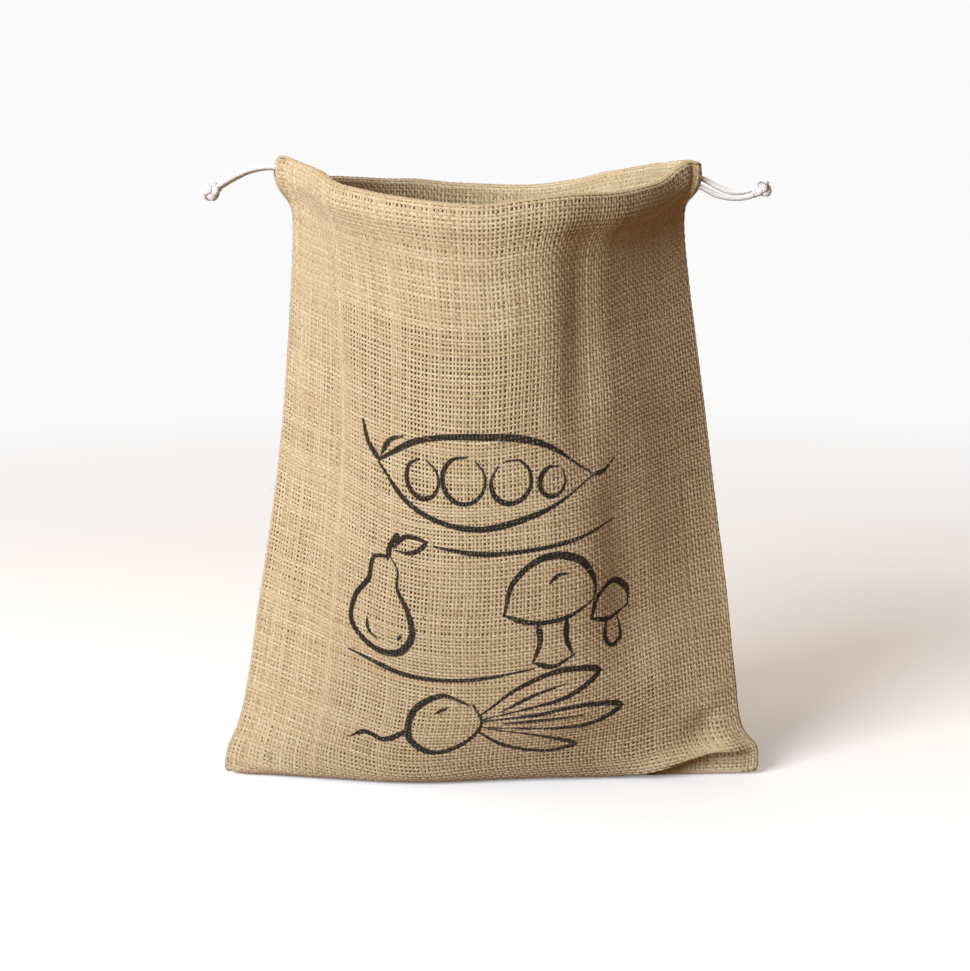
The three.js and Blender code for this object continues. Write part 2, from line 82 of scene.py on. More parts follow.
# direction of the cloth in plan, in degrees, at these places across a panel, level by level
BEND_PLACES = (-1, -0.93, -0.8, -0.62, -0.45, -0.3, -0.15, 0, 0.15, 0.3, 0.45, 0.62, 0.8, 0.93, 1)
FRONT_BENDS: Rows = (
    (0.0, 13, 13, 12, 12, 11, 2, -8, -10, -7, -2, 0, -1, -7, -17, -26),
    (0.08, 28, 29, 29, 25, 18, 10, 0, -6, -6, -6, -9, -14, -20, -30, -36),
    (0.18, 33, 32, 30, 23, 18, 16, 9, 0, -2, -10, -19, -26, -29, -28, -28),
    (0.29, 38, 38, 38, 36, 31, 22, 13, 0, -8, -18, -33, -36, -34, -30, -28),
    (0.4, 40, 40, 39, 37, 33, 24, 13, 0, -8, -19, -33, -40, -38, -32, -28),
    (0.6, 46, 45, 44, 42, 37, 27, 16, 0, -7, -21, -33, -42, -40, -38, -38),
    (0.79, 54, 53, 52, 47, 37, 30, 15, 0, -20, -36, -47, -48, -46, -44, -44),
    (0.92, 54, 57, 60, 50, 38, 31, 15, 0, -17, -33, -47, -52, -50, -47, -44),
    (0.95, 12, 46, 68, 52, 39, 28, 15, 0, -14, -31, -45, -52, -58, -42, -12),
    (1.0, 4, 44, 70, 53, 40, 28, 15, 0, -13, -30, -44, -52, -60, -40, -4),
)
BACK_BENDS: Rows = tuple((row[0], *(-degrees for degrees in row[:0:-1])) for row in FRONT_BENDS)

# (place across, lift of the rim there)
FRONT_RIM_LIFT: Rows = (
    (-1, 2.1), (-0.93, -0.7), (-0.86, -0.2), (-0.78, 1.7), (-0.7, 4.0), (-0.6, 3.0),
    (-0.45, 6.2), (-0.3, 8.0), (-0.15, 7.1), (0, 5.3), (0.15, 6.2), (0.3, 5.1), (0.45, 0.7),
    (0.6, -3.0), (0.72, -6.0), (0.82, -5.9), (0.9, -1.9), (0.95, 0.4), (1, 1.6),
)
BACK_RIM_LIFT: Rows = (
    (-1, 0.6), (-0.93, -2.5), (-0.86, -3.0), (-0.78, -3.6), (-0.7, -2.4), (-0.6, -1.6),
    (-0.45, -0.4), (-0.3, 2.3), (-0.15, 2.8), (0, 4.2), (0.15, 5.5), (0.3, 7.3), (0.45, 8.3),
    (0.6, 5.1), (0.72, 1.1), (0.82, -2.3), (0.9, -1.9), (0.95, -0.5), (1, 1.3),
)
# (place across, share of the base's reach that lies flat, height of the bend, its half length)
FRONT_BASE: Rows = (
    (-1, 0.3, 1, 4), (-0.8, 1, 0, 8), (0.3, 1, 0, 8), (0.5, 0.6, 1.5, 6), (0.58, 0.4, 3, 4),
    (0.66, 0.15, 6.5, 3.5), (0.76, 0.15, 10.5, 3.5), (0.86, 0.15, 14, 3.5), (1, 0.3, 16, 4),
)
BACK_BASE: Rows = (
    (-1, 0.3, 1, 4), (-0.8, 1, 0, 8), (0.5, 1, 0, 8), (0.7, 0.5, 4, 6), (0.86, 0.2, 12, 4),
    (1, 0.3, 16, 4),
)
# (place across at its foot, lean, foot, head, width, depth); a ridge has a depth below 0
FRONT_CREASES: Rows = (
    (0.36, 0.02, 190, 352, 13, 3.4), (0.56, -0.06, 60, 235, 16, 3.0),
    (-0.66, -0.04, 250, 354, 10, -2.6), (-0.45, -0.1, 20, 150, 20, 2.2),
    (0.72, 0.16, -10, 46, 13, 4.5), (-0.8, 0.05, 40, 200, 14, 2.0),
)
BACK_CREASES: Rows = (
    (-0.42, 0.05, 150, 352, 15, 3.4), (0.1, -0.08, 30, 190, 22, 2.6),
    (0.5, 0.1, 120, 350, 14, 3.0), (-0.7, 0.06, 20, 150, 16, 2.8),
    (-0.12, 0.02, 250, 354, 10, -2.0),
)
# places across of the columns at which a cord's route is taken from its casing
HALF_COLUMNS = (0.09, 0.18, 0.28, 0.38, 0.48, 0.58, 0.67, 0.76, 0.84, 0.9, 0.94, 0.97, 1)
COLUMNS = (*(-place for place in reversed(HALF_COLUMNS)), 0.0, *HALF_COLUMNS)


class Side(Enum):
    """A panel, by the way it faces along Y."""

    FRONT = -1
    BACK = 1


class Set(Enum):
    """The two sets of yarns in a woven cloth."""

    WARP = "warp"
    WEFT = "weft"


# ---- small mathematics ---------------------------------------------------------------------
def smooth(start: float, end: float, value: np.ndarray | float) -> np.ndarray:
    """Eased step.

    Args:
        start: Where the step leaves 0.
        end: Where it reaches 1.
        value: Places to read it at.

    Returns:
        The step's height at each place.
    """
    share = np.clip((value - start) / (end - start), 0.0, 1.0)
    return share * share * (3.0 - 2.0 * share)


def along_table(places: Sequence[float], values: Sequence[float], at: Any) -> np.ndarray:
    """Cubic through a table's values, with slopes taken from the neighbouring rows.

    Args:
        places: The rows' places, rising.
        values: The rows' values.
        at: Places to read.

    Returns:
        One value for each place.
    """
    p, v, at = np.asarray(places, float), np.asarray(values, float), np.asarray(at, float)
    slopes = np.empty_like(v)
    slopes[1:-1] = (v[2:] - v[:-2]) / (p[2:] - p[:-2])
    slopes[0], slopes[-1] = (v[1] - v[0]) / (p[1] - p[0]), (v[-1] - v[-2]) / (p[-1] - p[-2])
    row = np.clip(np.searchsorted(p, at, side="left") - 1, 0, len(p) - 2)
    span = p[row + 1] - p[row]
    s = np.clip((at - p[row]) / span, 0.0, 1.0)
    start = (1 + 2 * s) * (1 - s) ** 2 * v[row] + s * (1 - s) ** 2 * span * slopes[row]
    end = s * s * (3 - 2 * s) * v[row + 1] + s * s * (s - 1) * span * slopes[row + 1]
    return start + end


def unit(vectors: np.ndarray) -> np.ndarray:
    """The vectors, each made one long."""
    return vectors / np.maximum(np.linalg.norm(vectors, axis=-1, keepdims=True), 1e-12)


def drift(rng: np.random.Generator, shape: tuple[int, int], cells: tuple[int, int]) -> np.ndarray:
    """Smooth unevenness over a grid, such as a loom leaves.

    Args:
        rng: Source of the draws.
        shape: Rows and columns wanted.
        cells: Rows and columns of independent draws that it eases between.

    Returns:
        Values mostly between -1 and 1.
    """
    coarse = rng.normal(0.0, 0.5, (cells[0] + 1, cells[1] + 1))
    rows = np.linspace(0, cells[0] - 1e-6, shape[0])
    columns = np.linspace(0, cells[1] - 1e-6, shape[1])
    r, c = rows.astype(int), columns.astype(int)
    u, w = smooth(0, 1, rows - r)[:, None], smooth(0, 1, columns - c)[None, :]
    top = coarse[r][:, c] * (1 - w) + coarse[r][:, c + 1] * w
    bottom = coarse[r + 1][:, c] * (1 - w) + coarse[r + 1][:, c + 1] * w
    return top * (1 - u) + bottom * u


def through(points: np.ndarray, steps: int) -> np.ndarray:
    """Centripetal curve through points.

    Args:
        points: The points that it passes, one row each.
        steps: Steps from one point to the next.

    Returns:
        Points along the curve, one row each.
    """
    ends = (2 * points[0] - points[1])[None], (2 * points[-1] - points[-2])[None]
    p = np.concatenate([ends[0], points, ends[1]])
    knots = np.sqrt(np.maximum(np.linalg.norm(np.diff(p, axis=0), axis=1), 1e-6))
    found = []
    for k in range(1, len(p) - 2):
        before, here, after = knots[k - 1], knots[k], knots[k + 1]
        t1 = (p[k] - p[k - 1]) / before - (p[k + 1] - p[k - 1]) / (before + here)
        t1 = (t1 + (p[k + 1] - p[k]) / here) * here
        t2 = (p[k + 1] - p[k]) / here - (p[k + 2] - p[k]) / (here + after)
        t2 = (t2 + (p[k + 2] - p[k + 1]) / after) * here
        s = (np.arange(steps) / steps)[:, None]
        cubic = 2 * p[k] - 2 * p[k + 1] + t1 + t2
        square = -3 * p[k] + 3 * p[k + 1] - 2 * t1 - t2
        found.append(p[k] + t1 * s + square * s**2 + cubic * s**3)
    return np.concatenate([*found, p[-2][None]])


# ---- one panel's surface -------------------------------------------------------------------
@dataclass(frozen=True)
class PanelShape:
    """What sets one panel's standing shape, as tables of rows."""

    side: Side
    bends: Rows
    rim_lift: Rows
    base: Rows
    creases: Rows
    flap_left: float
    flap_right: float
    tucked: float  # how deep the right bottom corner is tucked in under the panel's foot, 0 to 1


FRONT_SHAPE = PanelShape(
    Side.FRONT, FRONT_BENDS, FRONT_RIM_LIFT, FRONT_BASE, FRONT_CREASES, 0.4, -1.6, 0.78)
BACK_SHAPE = PanelShape(
    Side.BACK, BACK_BENDS, BACK_RIM_LIFT, BACK_BASE, BACK_CREASES, 2.2, 0.3, 0.0)


class PanelSurface:
    """Middle surface of a panel, from its place across (-1 to 1) and along the cloth."""

    LEVELS = 70
    STEPS = 90
    ROUNDING_SAMPLES = 10
    OVERHANG = 2.6  # how far the foot hangs out over the tucked corner
    LEAST_RISE = 0.2  # a level rises by at least this share of the cloth's step
    PAST_END = 1e-6  # keeps a place on the last row inside the grid

    def __init__(self, shape: PanelShape) -> None:
        """Lays the cloth over its plan sections, level by level."""
        self.shape = shape
        levels = np.arange(self.LEVELS + 1) / self.LEVELS
        outline = np.array(OUTLINE)
        left, right, depth, apart = (
            along_table(outline[:, 0], outline[:, k], levels)[:, None] for k in (1, 2, 3, 4))
        bends = np.array(shape.bends, float)
        degrees = np.array([
            along_table(bends[:, 0], bends[:, k + 1], levels) for k in range(len(BEND_PLACES))])
        middles = -1 + 2 * (np.arange(self.STEPS) + 0.5) / self.STEPS
        headings = np.radians([
            along_table(BEND_PLACES, degrees[:, k], middles) for k in range(self.LEVELS + 1)])
        start = np.zeros((self.LEVELS + 1, 1))
        xs = np.hstack([start, np.cumsum(np.cos(headings), axis=1)])
        forwards = np.hstack([start, np.cumsum(np.sin(headings), axis=1)])
        forwards = forwards - forwards[:, -1:] * np.arange(self.STEPS + 1) / self.STEPS
        reach = forwards.max(axis=1, keepdims=True)
        self.xs = left + (right - left) * xs / xs[:, -1:]
        self.forwards = apart + (depth - apart) * forwards / reach
        self._lay_heights()

    def _lay_heights(self) -> None:
        """Raises each level by what is left of the cloth's length between two levels."""
        base = np.array(self.shape.base, float)
        places = -1 + 2 * np.arange(self.STEPS + 1) / self.STEPS
        foot, rise, self.rounds = (
            np.maximum(along_table(base[:, 0], base[:, k], places), 0) for k in (1, 2, 3))
        self.feet = self.forwards[0] * np.minimum(foot, 1)
        self.base_runs = self.feet + np.hypot(self.forwards[0] - self.feet, rise)
        step = (PANEL_LENGTH - self.base_runs) / self.LEVELS
        heights = [rise]
        for k in range(1, self.LEVELS + 1):
            sideways = self.xs[k] - self.xs[k - 1]
            forward = self.forwards[k] - self.forwards[k - 1]
            left_over = step**2 - sideways**2 - forward**2
            left_over = np.maximum(left_over, (self.LEAST_RISE * step) ** 2)
            heights.append(heights[-1] + np.sqrt(left_over))
        self.heights = np.array(heights)

    def _sharp(self, across: np.ndarray, along: np.ndarray) -> np.ndarray:
        """The cloth as it would lie with sharp bends at the base.

        Args:
            across: Places across the panel.
            along: Lengths up the cloth.

        Returns:
            x, forward and z, in the last axis.
        """
        j = np.clip((across + 1) / 2 * self.STEPS, 0, self.STEPS - self.PAST_END)
        j0 = j.astype(int)
        t = j - j0

        def mix(row: np.ndarray) -> np.ndarray:
            """A row's value at the place across."""
            return row[j0] * (1 - t) + row[j0 + 1] * t

        base_run, foot = mix(self.base_runs), mix(self.feet)
        distance, sign = np.abs(along), np.sign(along)
        share = np.maximum(distance - foot, 0) / np.maximum(base_run - foot, 1e-6)
        near = np.minimum(distance, foot)
        reach = near + (mix(self.forwards[0]) - near) * share
        low = np.stack([mix(self.xs[0]), sign * reach, share * mix(self.heights[0])], -1)
        i = (distance - base_run) / (PANEL_LENGTH - base_run) * self.LEVELS
        i = np.clip(i, 0, self.LEVELS - self.PAST_END)
        i0 = i.astype(int)
        u = i - i0

        def at(grid: np.ndarray) -> np.ndarray:
            """A level grid's value at the place."""
            lower = grid[i0, j0] * (1 - t) + grid[i0, j0 + 1] * t
            upper = grid[i0 + 1, j0] * (1 - t) + grid[i0 + 1, j0 + 1] * t
            return lower * (1 - u) + upper * u

        beyond = np.maximum(distance - PANEL_LENGTH, 0)
        high = np.stack([at(self.xs), sign * at(self.forwards), at(self.heights) + beyond], -1)
        return np.where((distance < base_run)[..., None], low, high)

    def _rest(self, across: np.ndarray, along: np.ndarray) -> np.ndarray:
        """The same cloth with its bends rounded, its rim lifted and its corners drawn in.

        Args:
            across: Places across the panel.
            along: Lengths up the cloth.

        Returns:
            Points, in the last axis.
        """
        j = np.clip((across + 1) / 2 * self.STEPS, 0, self.STEPS - self.PAST_END)
        j0 = j.astype(int)
        rounding = self.rounds[j0] * (1 - j + j0) + self.rounds[j0 + 1] * (j - j0)
        mean = 0.0
        for k in range(self.ROUNDING_SAMPLES):
            shift = rounding * (-1 + 2 * (k + 0.5) / self.ROUNDING_SAMPLES)
            mean = mean + self._sharp(across, along + shift) / self.ROUNDING_SAMPLES
        facing = self.shape.side.value
        lift = np.array(self.shape.rim_lift, float)
        rise = along_table(lift[:, 0], lift[:, 1], across) * (along / PANEL_LENGTH) ** 2
        from_corner = np.clip(1 - along / CORNER_RADIUS, 0, 1)
        inset = CORNER_RADIUS * (1 - np.sqrt(1 - from_corner**2))
        flap = np.where(across < 0, self.shape.flap_left, self.shape.flap_right)
        outwards = (flap * smooth(316, 334, along) - inset) * smooth(0.9, 1, np.abs(across))
        forward = self._tuck(mean[..., 1], across, along)
        return np.stack([
            mean[..., 0] + np.sign(across) * outwards,
            facing * forward + facing * PIECE_GAP / 2,
            mean[..., 2] + CLOTH_THICKNESS / 2 + rise,
        ], -1)

    def _tuck(self, forward: np.ndarray, across: np.ndarray, along: np.ndarray) -> np.ndarray:
        """Draws the cloth of the right bottom corner in, and lets the foot hang over it.

        Args:
            forward: How far forward the cloth stands.
            across: Places across the panel.
            along: Lengths up the cloth.

        Returns:
            How far forward it stands once tucked.
        """
        if not self.shape.tucked:
            return forward
        places = -1 + 2 * np.arange(self.STEPS + 1) / self.STEPS
        share = along / np.interp(across, places, self.base_runs)
        # deepest past the middle of the right half, and shallower again at the seam
        depth = smooth(0.46, 0.6, across) * (1 - 0.4 * smooth(0.9, 1.0, across))
        recess = smooth(0, 0.25, share) * (1 - smooth(0.74, 1.02, share))
        ledge = smooth(0.5, 0.64, across) * (1 - smooth(0.9, 0.99, across))
        over = np.exp(-(((share - 1.15) / 0.5) ** 2))  # most just above the base's front edge
        return forward * (1 - self.shape.tucked * depth * recess) + self.OVERHANG * ledge * over

    def _crease(self, across: np.ndarray, along: np.ndarray) -> np.ndarray:
        """How far the soft troughs and ridges move the cloth outwards."""
        offset = np.zeros_like(across)
        for place, lean, foot, head, width, depth in self.shape.creases:
            share = np.clip((along - foot) / (head - foot), 0, 1)
            aside = (across - place - lean * share) * PANEL_WIDTH / 2
            offset -= depth * np.sin(np.pi * share) ** 0.7 * np.exp(-((aside / width) ** 2))
        return offset * (1 - smooth(0.86, 0.97, np.abs(across))) * smooth(0, 30, along)

    def read(self, across: Any, along: Any) -> tuple[np.ndarray, np.ndarray, np.ndarray]:
        """Reads the surface.

        Args:
            across: Places across the panel, from -1 to 1.
            along: Lengths up the cloth from the bottom seam.

        Returns:
            Points, outward unit vectors, and unit vectors up the cloth.
        """
        across, along = np.broadcast_arrays(np.asarray(across, float), np.asarray(along, float))
        nudge = 0.004  # step across from which the slope is read; up the cloth it is 1 mm
        sideways = self._rest(across + nudge, along) - self._rest(across - nudge, along)
        upwards = self._rest(across, along + 1) - self._rest(across, along - 1)
        outward = unit(-self.shape.side.value * np.cross(sideways, upwards))
        point = self._rest(across, along) + outward * self._crease(across, along)[..., None]
        return point, outward, unit(upwards)


def casing_section(across: float) -> np.ndarray:
    """Middle line of the cloth in a section across the casing.

    Args:
        across: Place across the panel.

    Returns:
        Rows of (along the panel, out from its surface): up, over the rim and down inside.
    """
    # the hem is cut back at both ends to let the cords out, on the right nearer to the seam
    hem_cut = float(smooth(0.855, 0.9, across) if across > 0 else smooth(0.82, 0.89, -across))
    flattened = float(smooth(0.93, 0.98, abs(across)))
    layer_gap = (CLOTH_THICKNESS + PIECE_GAP) / 2
    half = TUNNEL_HALF_WIDTH + CLOTH_THICKNESS / 2
    half += (layer_gap - half) * flattened
    stitch_line = PANEL_LENGTH - CASING_DEPTH
    turn_centre = PANEL_LENGTH - half - CLOTH_THICKNESS / 2
    hem_end = stitch_line - HEM_ALLOWANCE
    hem_end += (turn_centre - 0.6 - hem_end) * hem_cut
    parting = 9.0  # the layers part over this length above the stitch line
    rows = [(0.0, 0.0), (stitch_line - 16, 0.0), (stitch_line - 8, 0.5 * layer_gap),
            (stitch_line, layer_gap), (stitch_line + parting / 2, 0.4 * layer_gap + 0.6 * half),
            (stitch_line + parting, half), (turn_centre - 4, half)]
    for angle in np.linspace(0, math.pi, 13):
        rows.append((turn_centre + half * math.sin(angle), half * math.cos(angle)))
    for share in (0.3, 0.6, 0.8, 1.0):
        along = turn_centre + (hem_end - turn_centre) * share
        opened = float(smooth(stitch_line, stitch_line + parting, along))
        rows.append((along, -(layer_gap + (half - layer_gap) * opened)))
    return np.array(rows)


# ---- Blender helpers -----------------------------------------------------------------------
def linear(hex_colour: str) -> tuple[float, float, float, float]:
    """An sRGB hex colour as linear values with full alpha."""
    parts = [int(hex_colour[k:k + 2], 16) / 255 for k in (1, 3, 5)]
    return (*(v / 12.92 if v <= 0.04045 else ((v + 0.055) / 1.055) ** 2.4 for v in parts), 1.0)


def add_node(tree: bpy.types.NodeTree, kind: str, inputs: dict[Any, Any] | None = None,
             **settings: Any) -> bpy.types.Node:
    """Adds a node with its settings and links.

    Args:
        tree: Tree that gets the node.
        kind: The node's type.
        inputs: Values or output sockets, by the input's name or number.
        **settings: The node's own properties.

    Returns:
        The new node.
    """
    node = tree.nodes.new(kind)
    for name, value in settings.items():
        setattr(node, name, value)
    for key, value in (inputs or {}).items():
        if isinstance(value, bpy.types.NodeSocket):
            tree.links.new(value, node.inputs[key])
        else:
            node.inputs[key].default_value = value
    return node


def new_group(name: str, sockets: Iterable[tuple[str, str]]) -> bpy.types.NodeTree:
    """A geometry node tree with named inputs, set up as a modifier's tree.

    Args:
        name: The tree's name.
        sockets: Name and socket type of each input after the geometry.

    Returns:
        The tree, with its interface made.
    """
    tree = bpy.data.node_groups.new(name, "GeometryNodeTree")
    tree.is_modifier = True
    tree.interface.new_socket("Geometry", in_out="OUTPUT", socket_type="NodeSocketGeometry")
    for label, kind in (("Geometry", "NodeSocketGeometry"), *sockets):
        tree.interface.new_socket(label, in_out="INPUT", socket_type=kind)
    return tree


def end_tree(tree: bpy.types.NodeTree, geometry: bpy.types.NodeSocket,
             finish: bpy.types.NodeSocket) -> None:
    """Ends a geometry node tree: real meshes, in their material, to its output.

    Args:
        tree: The tree.
        geometry: What it has made.
        finish: Its material.
    """
    whole = add_node(tree, "GeometryNodeRealizeInstances", {"Geometry": geometry}).outputs[0]
    dressed = add_node(tree, "GeometryNodeSetMaterial", {
        "Geometry": whole, "Material": finish}).outputs[0]
    add_node(tree, "NodeGroupOutput", {"Geometry": dressed})


def run_tree(guide: bpy.types.Object, tree: bpy.types.NodeTree,
             values: dict[str, Any]) -> bpy.types.Object:
    """Runs a geometry node tree on a guide and keeps the result as its plain mesh.

    Args:
        guide: Object whose mesh the tree starts from.
        tree: The tree.
        values: Values for the tree's inputs, by name.

    Returns:
        The same object, with the finished mesh and no modifier.
    """
    modifier = guide.modifiers.new(tree.name, "NODES")
    modifier.node_group = tree
    for item in tree.interface.items_tree:
        if item.item_type == "SOCKET" and item.in_out == "INPUT" and item.name in values:
            modifier[item.identifier] = values[item.name]
    depsgraph = bpy.context.evaluated_depsgraph_get()
    finished = bpy.data.meshes.new_from_object(guide.evaluated_get(depsgraph))
    guide.modifiers.remove(modifier)
    rough, guide.data = guide.data, finished
    bpy.data.meshes.remove(rough)
    finished.name = guide.name
    return guide


def new_object(name: str, points: np.ndarray, edges: np.ndarray | None = None,
               faces: Sequence[Sequence[int]] = ()) -> bpy.types.Object:
    """An object in the scene with a mesh of points, edges and faces.

    Args:
        name: Name of the object and of its mesh.
        points: Places in millimetres, one row each.
        edges: Pairs of point numbers, or None.
        faces: Point numbers of each face.

    Returns:
        The object, at the origin.
    """
    mesh = bpy.data.meshes.new(name)
    if edges is not None and len(edges):
        mesh.vertices.add(len(points))
        mesh.vertices.foreach_set("co", (points * MM).astype(np.float32).ravel())
        mesh.edges.add(len(edges))
        mesh.edges.foreach_set("vertices", edges.astype(np.int32).ravel())
        mesh.update()
    else:
        mesh.from_pydata((points * MM).tolist(), [], faces)
        mesh.update()
    piece = bpy.data.objects.new(name, mesh)
    bpy.context.scene.collection.objects.link(piece)
    return piece


def store(mesh: bpy.types.Mesh, name: str, values: np.ndarray, domain: str = "POINT") -> None:
    """Writes a float or vector attribute.

    Args:
        mesh: Mesh that gets it.
        name: The attribute's name.
        values: One number, or one row of three, for each element.
        domain: What an element is.
    """
    kind, key = ("FLOAT", "value") if values.ndim == 1 else ("FLOAT_VECTOR", "vector")
    layer = mesh.attributes.new(name, kind, domain)
    layer.data.foreach_set(key, values.astype(np.float32).ravel())


def fetch(mesh: bpy.types.Mesh, name: str) -> np.ndarray:
    """A float attribute's values, one for each point."""
    values = np.empty(len(mesh.vertices), np.float32)
    mesh.attributes[name].data.foreach_get("value", values)
    return values


def corner_points(mesh: bpy.types.Mesh) -> np.ndarray:
    """The point number of each face corner."""
    numbers = np.empty(len(mesh.loops), np.int32)
    mesh.loops.foreach_get("vertex_index", numbers)
    return numbers


def write_map(mesh: bpy.types.Mesh, name: str, corners: np.ndarray) -> None:
    """Writes a UV map from one row of (u, v) for each face corner."""
    layer = mesh.uv_layers.new(name=name)
    layer.data.foreach_set("uv", corners.astype(np.float32).ravel())


def shade_smooth(mesh: bpy.types.Mesh) -> None:
    """Shades every face of a mesh smooth."""
    mesh.polygons.foreach_set("use_smooth", np.ones(len(mesh.polygons), bool))
    mesh.update()


def triangles(piece: bpy.types.Object) -> int:
    """How many triangles a mesh object has."""
    return sum(polygon.loop_total - 2 for polygon in piece.data.polygons)


# ---- finishes ------------------------------------------------------------------------------
class Finish:
    """A procedural material that a piece is dressed in."""

    name = "finish"

    def start(self) -> tuple[bpy.types.NodeTree, bpy.types.Node]:
        """Makes the material's tree.

        Returns:
            The empty tree and its output node.
        """
        self.material = bpy.data.materials.new(self.name)
        self.material.use_nodes = True
        tree = self.material.node_tree
        tree.nodes.clear()
        return tree, add_node(tree, "ShaderNodeOutputMaterial")

    def close(self, tree: bpy.types.NodeTree, output: bpy.types.Node,
              shader: bpy.types.Node) -> bpy.types.Material:
        """Joins the shader to the output, and gives the finished material."""
        tree.links.new(shader.outputs[0], output.inputs["Surface"])
        return self.material


@dataclass
class SpunJute(Finish):
    """Single spun jute yarn, unbleached: hairy, matt, straw to light brown, never even.

    Fibre bundles run slantwise round the yarn and catch the light in streaks, bark flecks are
    darker, and each yarn differs a little from the next. It is printed with pigment ink where
    the ink attributes say so.
    """

    name: str = "spun_jute"
    pale: str = "#C1B99E"
    middle: str = "#AB9A7B"
    dark: str = "#867251"
    fleck: str = "#6A4627"
    ink: str = "#191613"  # screen ink: nearly black, matt, sunk into the fibres
    printed: bool = False
    fibre_width: float = 0.16  # fibre bundles, drawn about three times as coarse as real ones
    streak_length: float = 6.0
    drift_length: float = 45.0  # a yarn's shade drifts over about this length
    weights: tuple[float, float, float] = (0.55, 0.38, 0.16)  # of streak, drift and yarn in a shade
    shades: tuple[float, float, float] = (0.28, 0.48, 0.74)  # where it is dark, middle and pale
    fleck_rate: tuple[float, float] = (0.9, 0.42)  # cells in a millimetre, round and down the yarn
    fleck_edge: tuple[float, float] = (0.70, 0.80)
    twist: float = 28.0  # slope of the spun fibres, in degrees
    relief: float = 0.16
    ink_ragged: float = 0.7  # how far the streaks push the ink's edge
    ink_edge: tuple[float, float] = (0.08, 0.45)  # from bare to covered, inwards from that edge
    ink_reach: tuple[float, float] = (0.12, 0.5)  # and from a yarn's inner face to its outer one
    roughness: float = 0.88
    sheen: float = 0.25

    def build(self) -> bpy.types.Material:
        """Makes the material.

        Returns:
            The finished material.
        """
        tree, output = self.start()
        yarn_map = add_node(tree, "ShaderNodeUVMap", uv_map="YarnMap").outputs["UV"]
        lane = add_node(tree, "ShaderNodeAttribute", attribute_name="lane").outputs["Fac"]
        apart = add_node(tree, "ShaderNodeCombineXYZ", {"Z": lane})
        place = add_node(tree, "ShaderNodeVectorMath", {0: yarn_map, 1: apart.outputs[0]},
                         operation="ADD").outputs[0]
        # fibre streaks: narrow round the yarn, long down it; in each pattern the last scale
        # sets one yarn's part of the noise apart from the next yarn's
        stretched = add_node(tree, "ShaderNodeMapping", {
            "Vector": place,
            "Scale": (1 / self.fibre_width / 4, 1 / self.streak_length, 7.3),
        }).outputs[0]
        streak = add_node(tree, "ShaderNodeTexNoise", {
            "Vector": stretched, "Scale": 1.0, "Detail": 3.0, "Roughness": 0.62}).outputs["Fac"]
        # slow change of shade down a yarn
        slow_place = add_node(tree, "ShaderNodeMapping", {
            "Vector": place, "Scale": (0.0, 1 / self.drift_length, 3.7)}).outputs[0]
        slow = add_node(tree, "ShaderNodeTexNoise", {
            "Vector": slow_place, "Scale": 1.0, "Detail": 2.0}).outputs["Fac"]
        each = add_node(tree, "ShaderNodeTexWhiteNoise", {"W": lane},
                        noise_dimensions="1D").outputs["Value"]
        shade = 0.0
        for source, weight in zip((streak, slow, each), self.weights):
            shade = add_node(tree, "ShaderNodeMath", {0: source, 1: weight, 2: shade},
                             operation="MULTIPLY_ADD").outputs[0]
        ramp = add_node(tree, "ShaderNodeValToRGB", {"Fac": shade})
        stops = ramp.color_ramp.elements
        stops[0].position, stops[0].color = self.shades[0], linear(self.dark)
        stops[1].position, stops[1].color = self.shades[2], linear(self.pale)
        middle = stops.new(self.shades[1])
        middle.color = linear(self.middle)
        # flecks of bark, 1 to 3 mm long
        fleck_place = add_node(tree, "ShaderNodeMapping", {
            "Vector": place, "Scale": (*self.fleck_rate, 5.1)}).outputs[0]
        fleck = add_node(tree, "ShaderNodeTexNoise", {
            "Vector": fleck_place, "Scale": 1.0, "Detail": 1.0}).outputs["Fac"]
        fleck = add_node(tree, "ShaderNodeMapRange", {
            "Value": fleck, "From Min": self.fleck_edge[0],
            "From Max": self.fleck_edge[1]}).outputs["Result"]
        colour = add_node(tree, "ShaderNodeMix", {
            "Factor": fleck, 6: ramp.outputs["Color"], 7: linear(self.fleck)},
            data_type="RGBA").outputs[2]
        if self.printed:
            cover = self._ink_cover(tree, streak)
            colour = add_node(tree, "ShaderNodeMix", {
                "Factor": cover, 6: colour, 7: linear(self.ink)}, data_type="RGBA").outputs[2]
        bump = self._relief(tree, place, streak)
        shader = add_node(tree, "ShaderNodeBsdfPrincipled", {
            "Base Color": colour, "Roughness": self.roughness, "IOR": 1.5,
            "Specular IOR Level": 0.25, "Sheen Weight": self.sheen, "Sheen Roughness": 0.5,
            "Sheen Tint": linear("#FFF8EC"), "Normal": bump})
        return self.close(tree, output, shader)

    def _relief(self, tree: bpy.types.NodeTree, place: bpy.types.NodeSocket,
                streak: bpy.types.NodeSocket) -> bpy.types.NodeSocket:
        """Twist of the spun yarn and its loose fibres, as bump.

        Args:
            tree: The material's tree.
            place: Place round and down the yarn.
            streak: The fibre streaks.

        Returns:
            The normal to shade with.
        """
        slanted = add_node(tree, "ShaderNodeMapping", {
            "Vector": place, "Rotation": (0, 0, math.radians(self.twist))}).outputs[0]
        twist = add_node(tree, "ShaderNodeTexWave", {
            "Vector": slanted, "Scale": 0.55, "Distortion": 2.2, "Detail": 2.0,
            "Detail Scale": 1.4}, bands_direction="X").outputs["Fac"]
        height = add_node(tree, "ShaderNodeMath", {0: twist, 1: 0.6, 2: streak},
                          operation="MULTIPLY_ADD").outputs[0]
        return add_node(tree, "ShaderNodeBump", {
            "Height": height, "Strength": 0.4,
            "Distance": self.relief * MM}).outputs["Normal"]

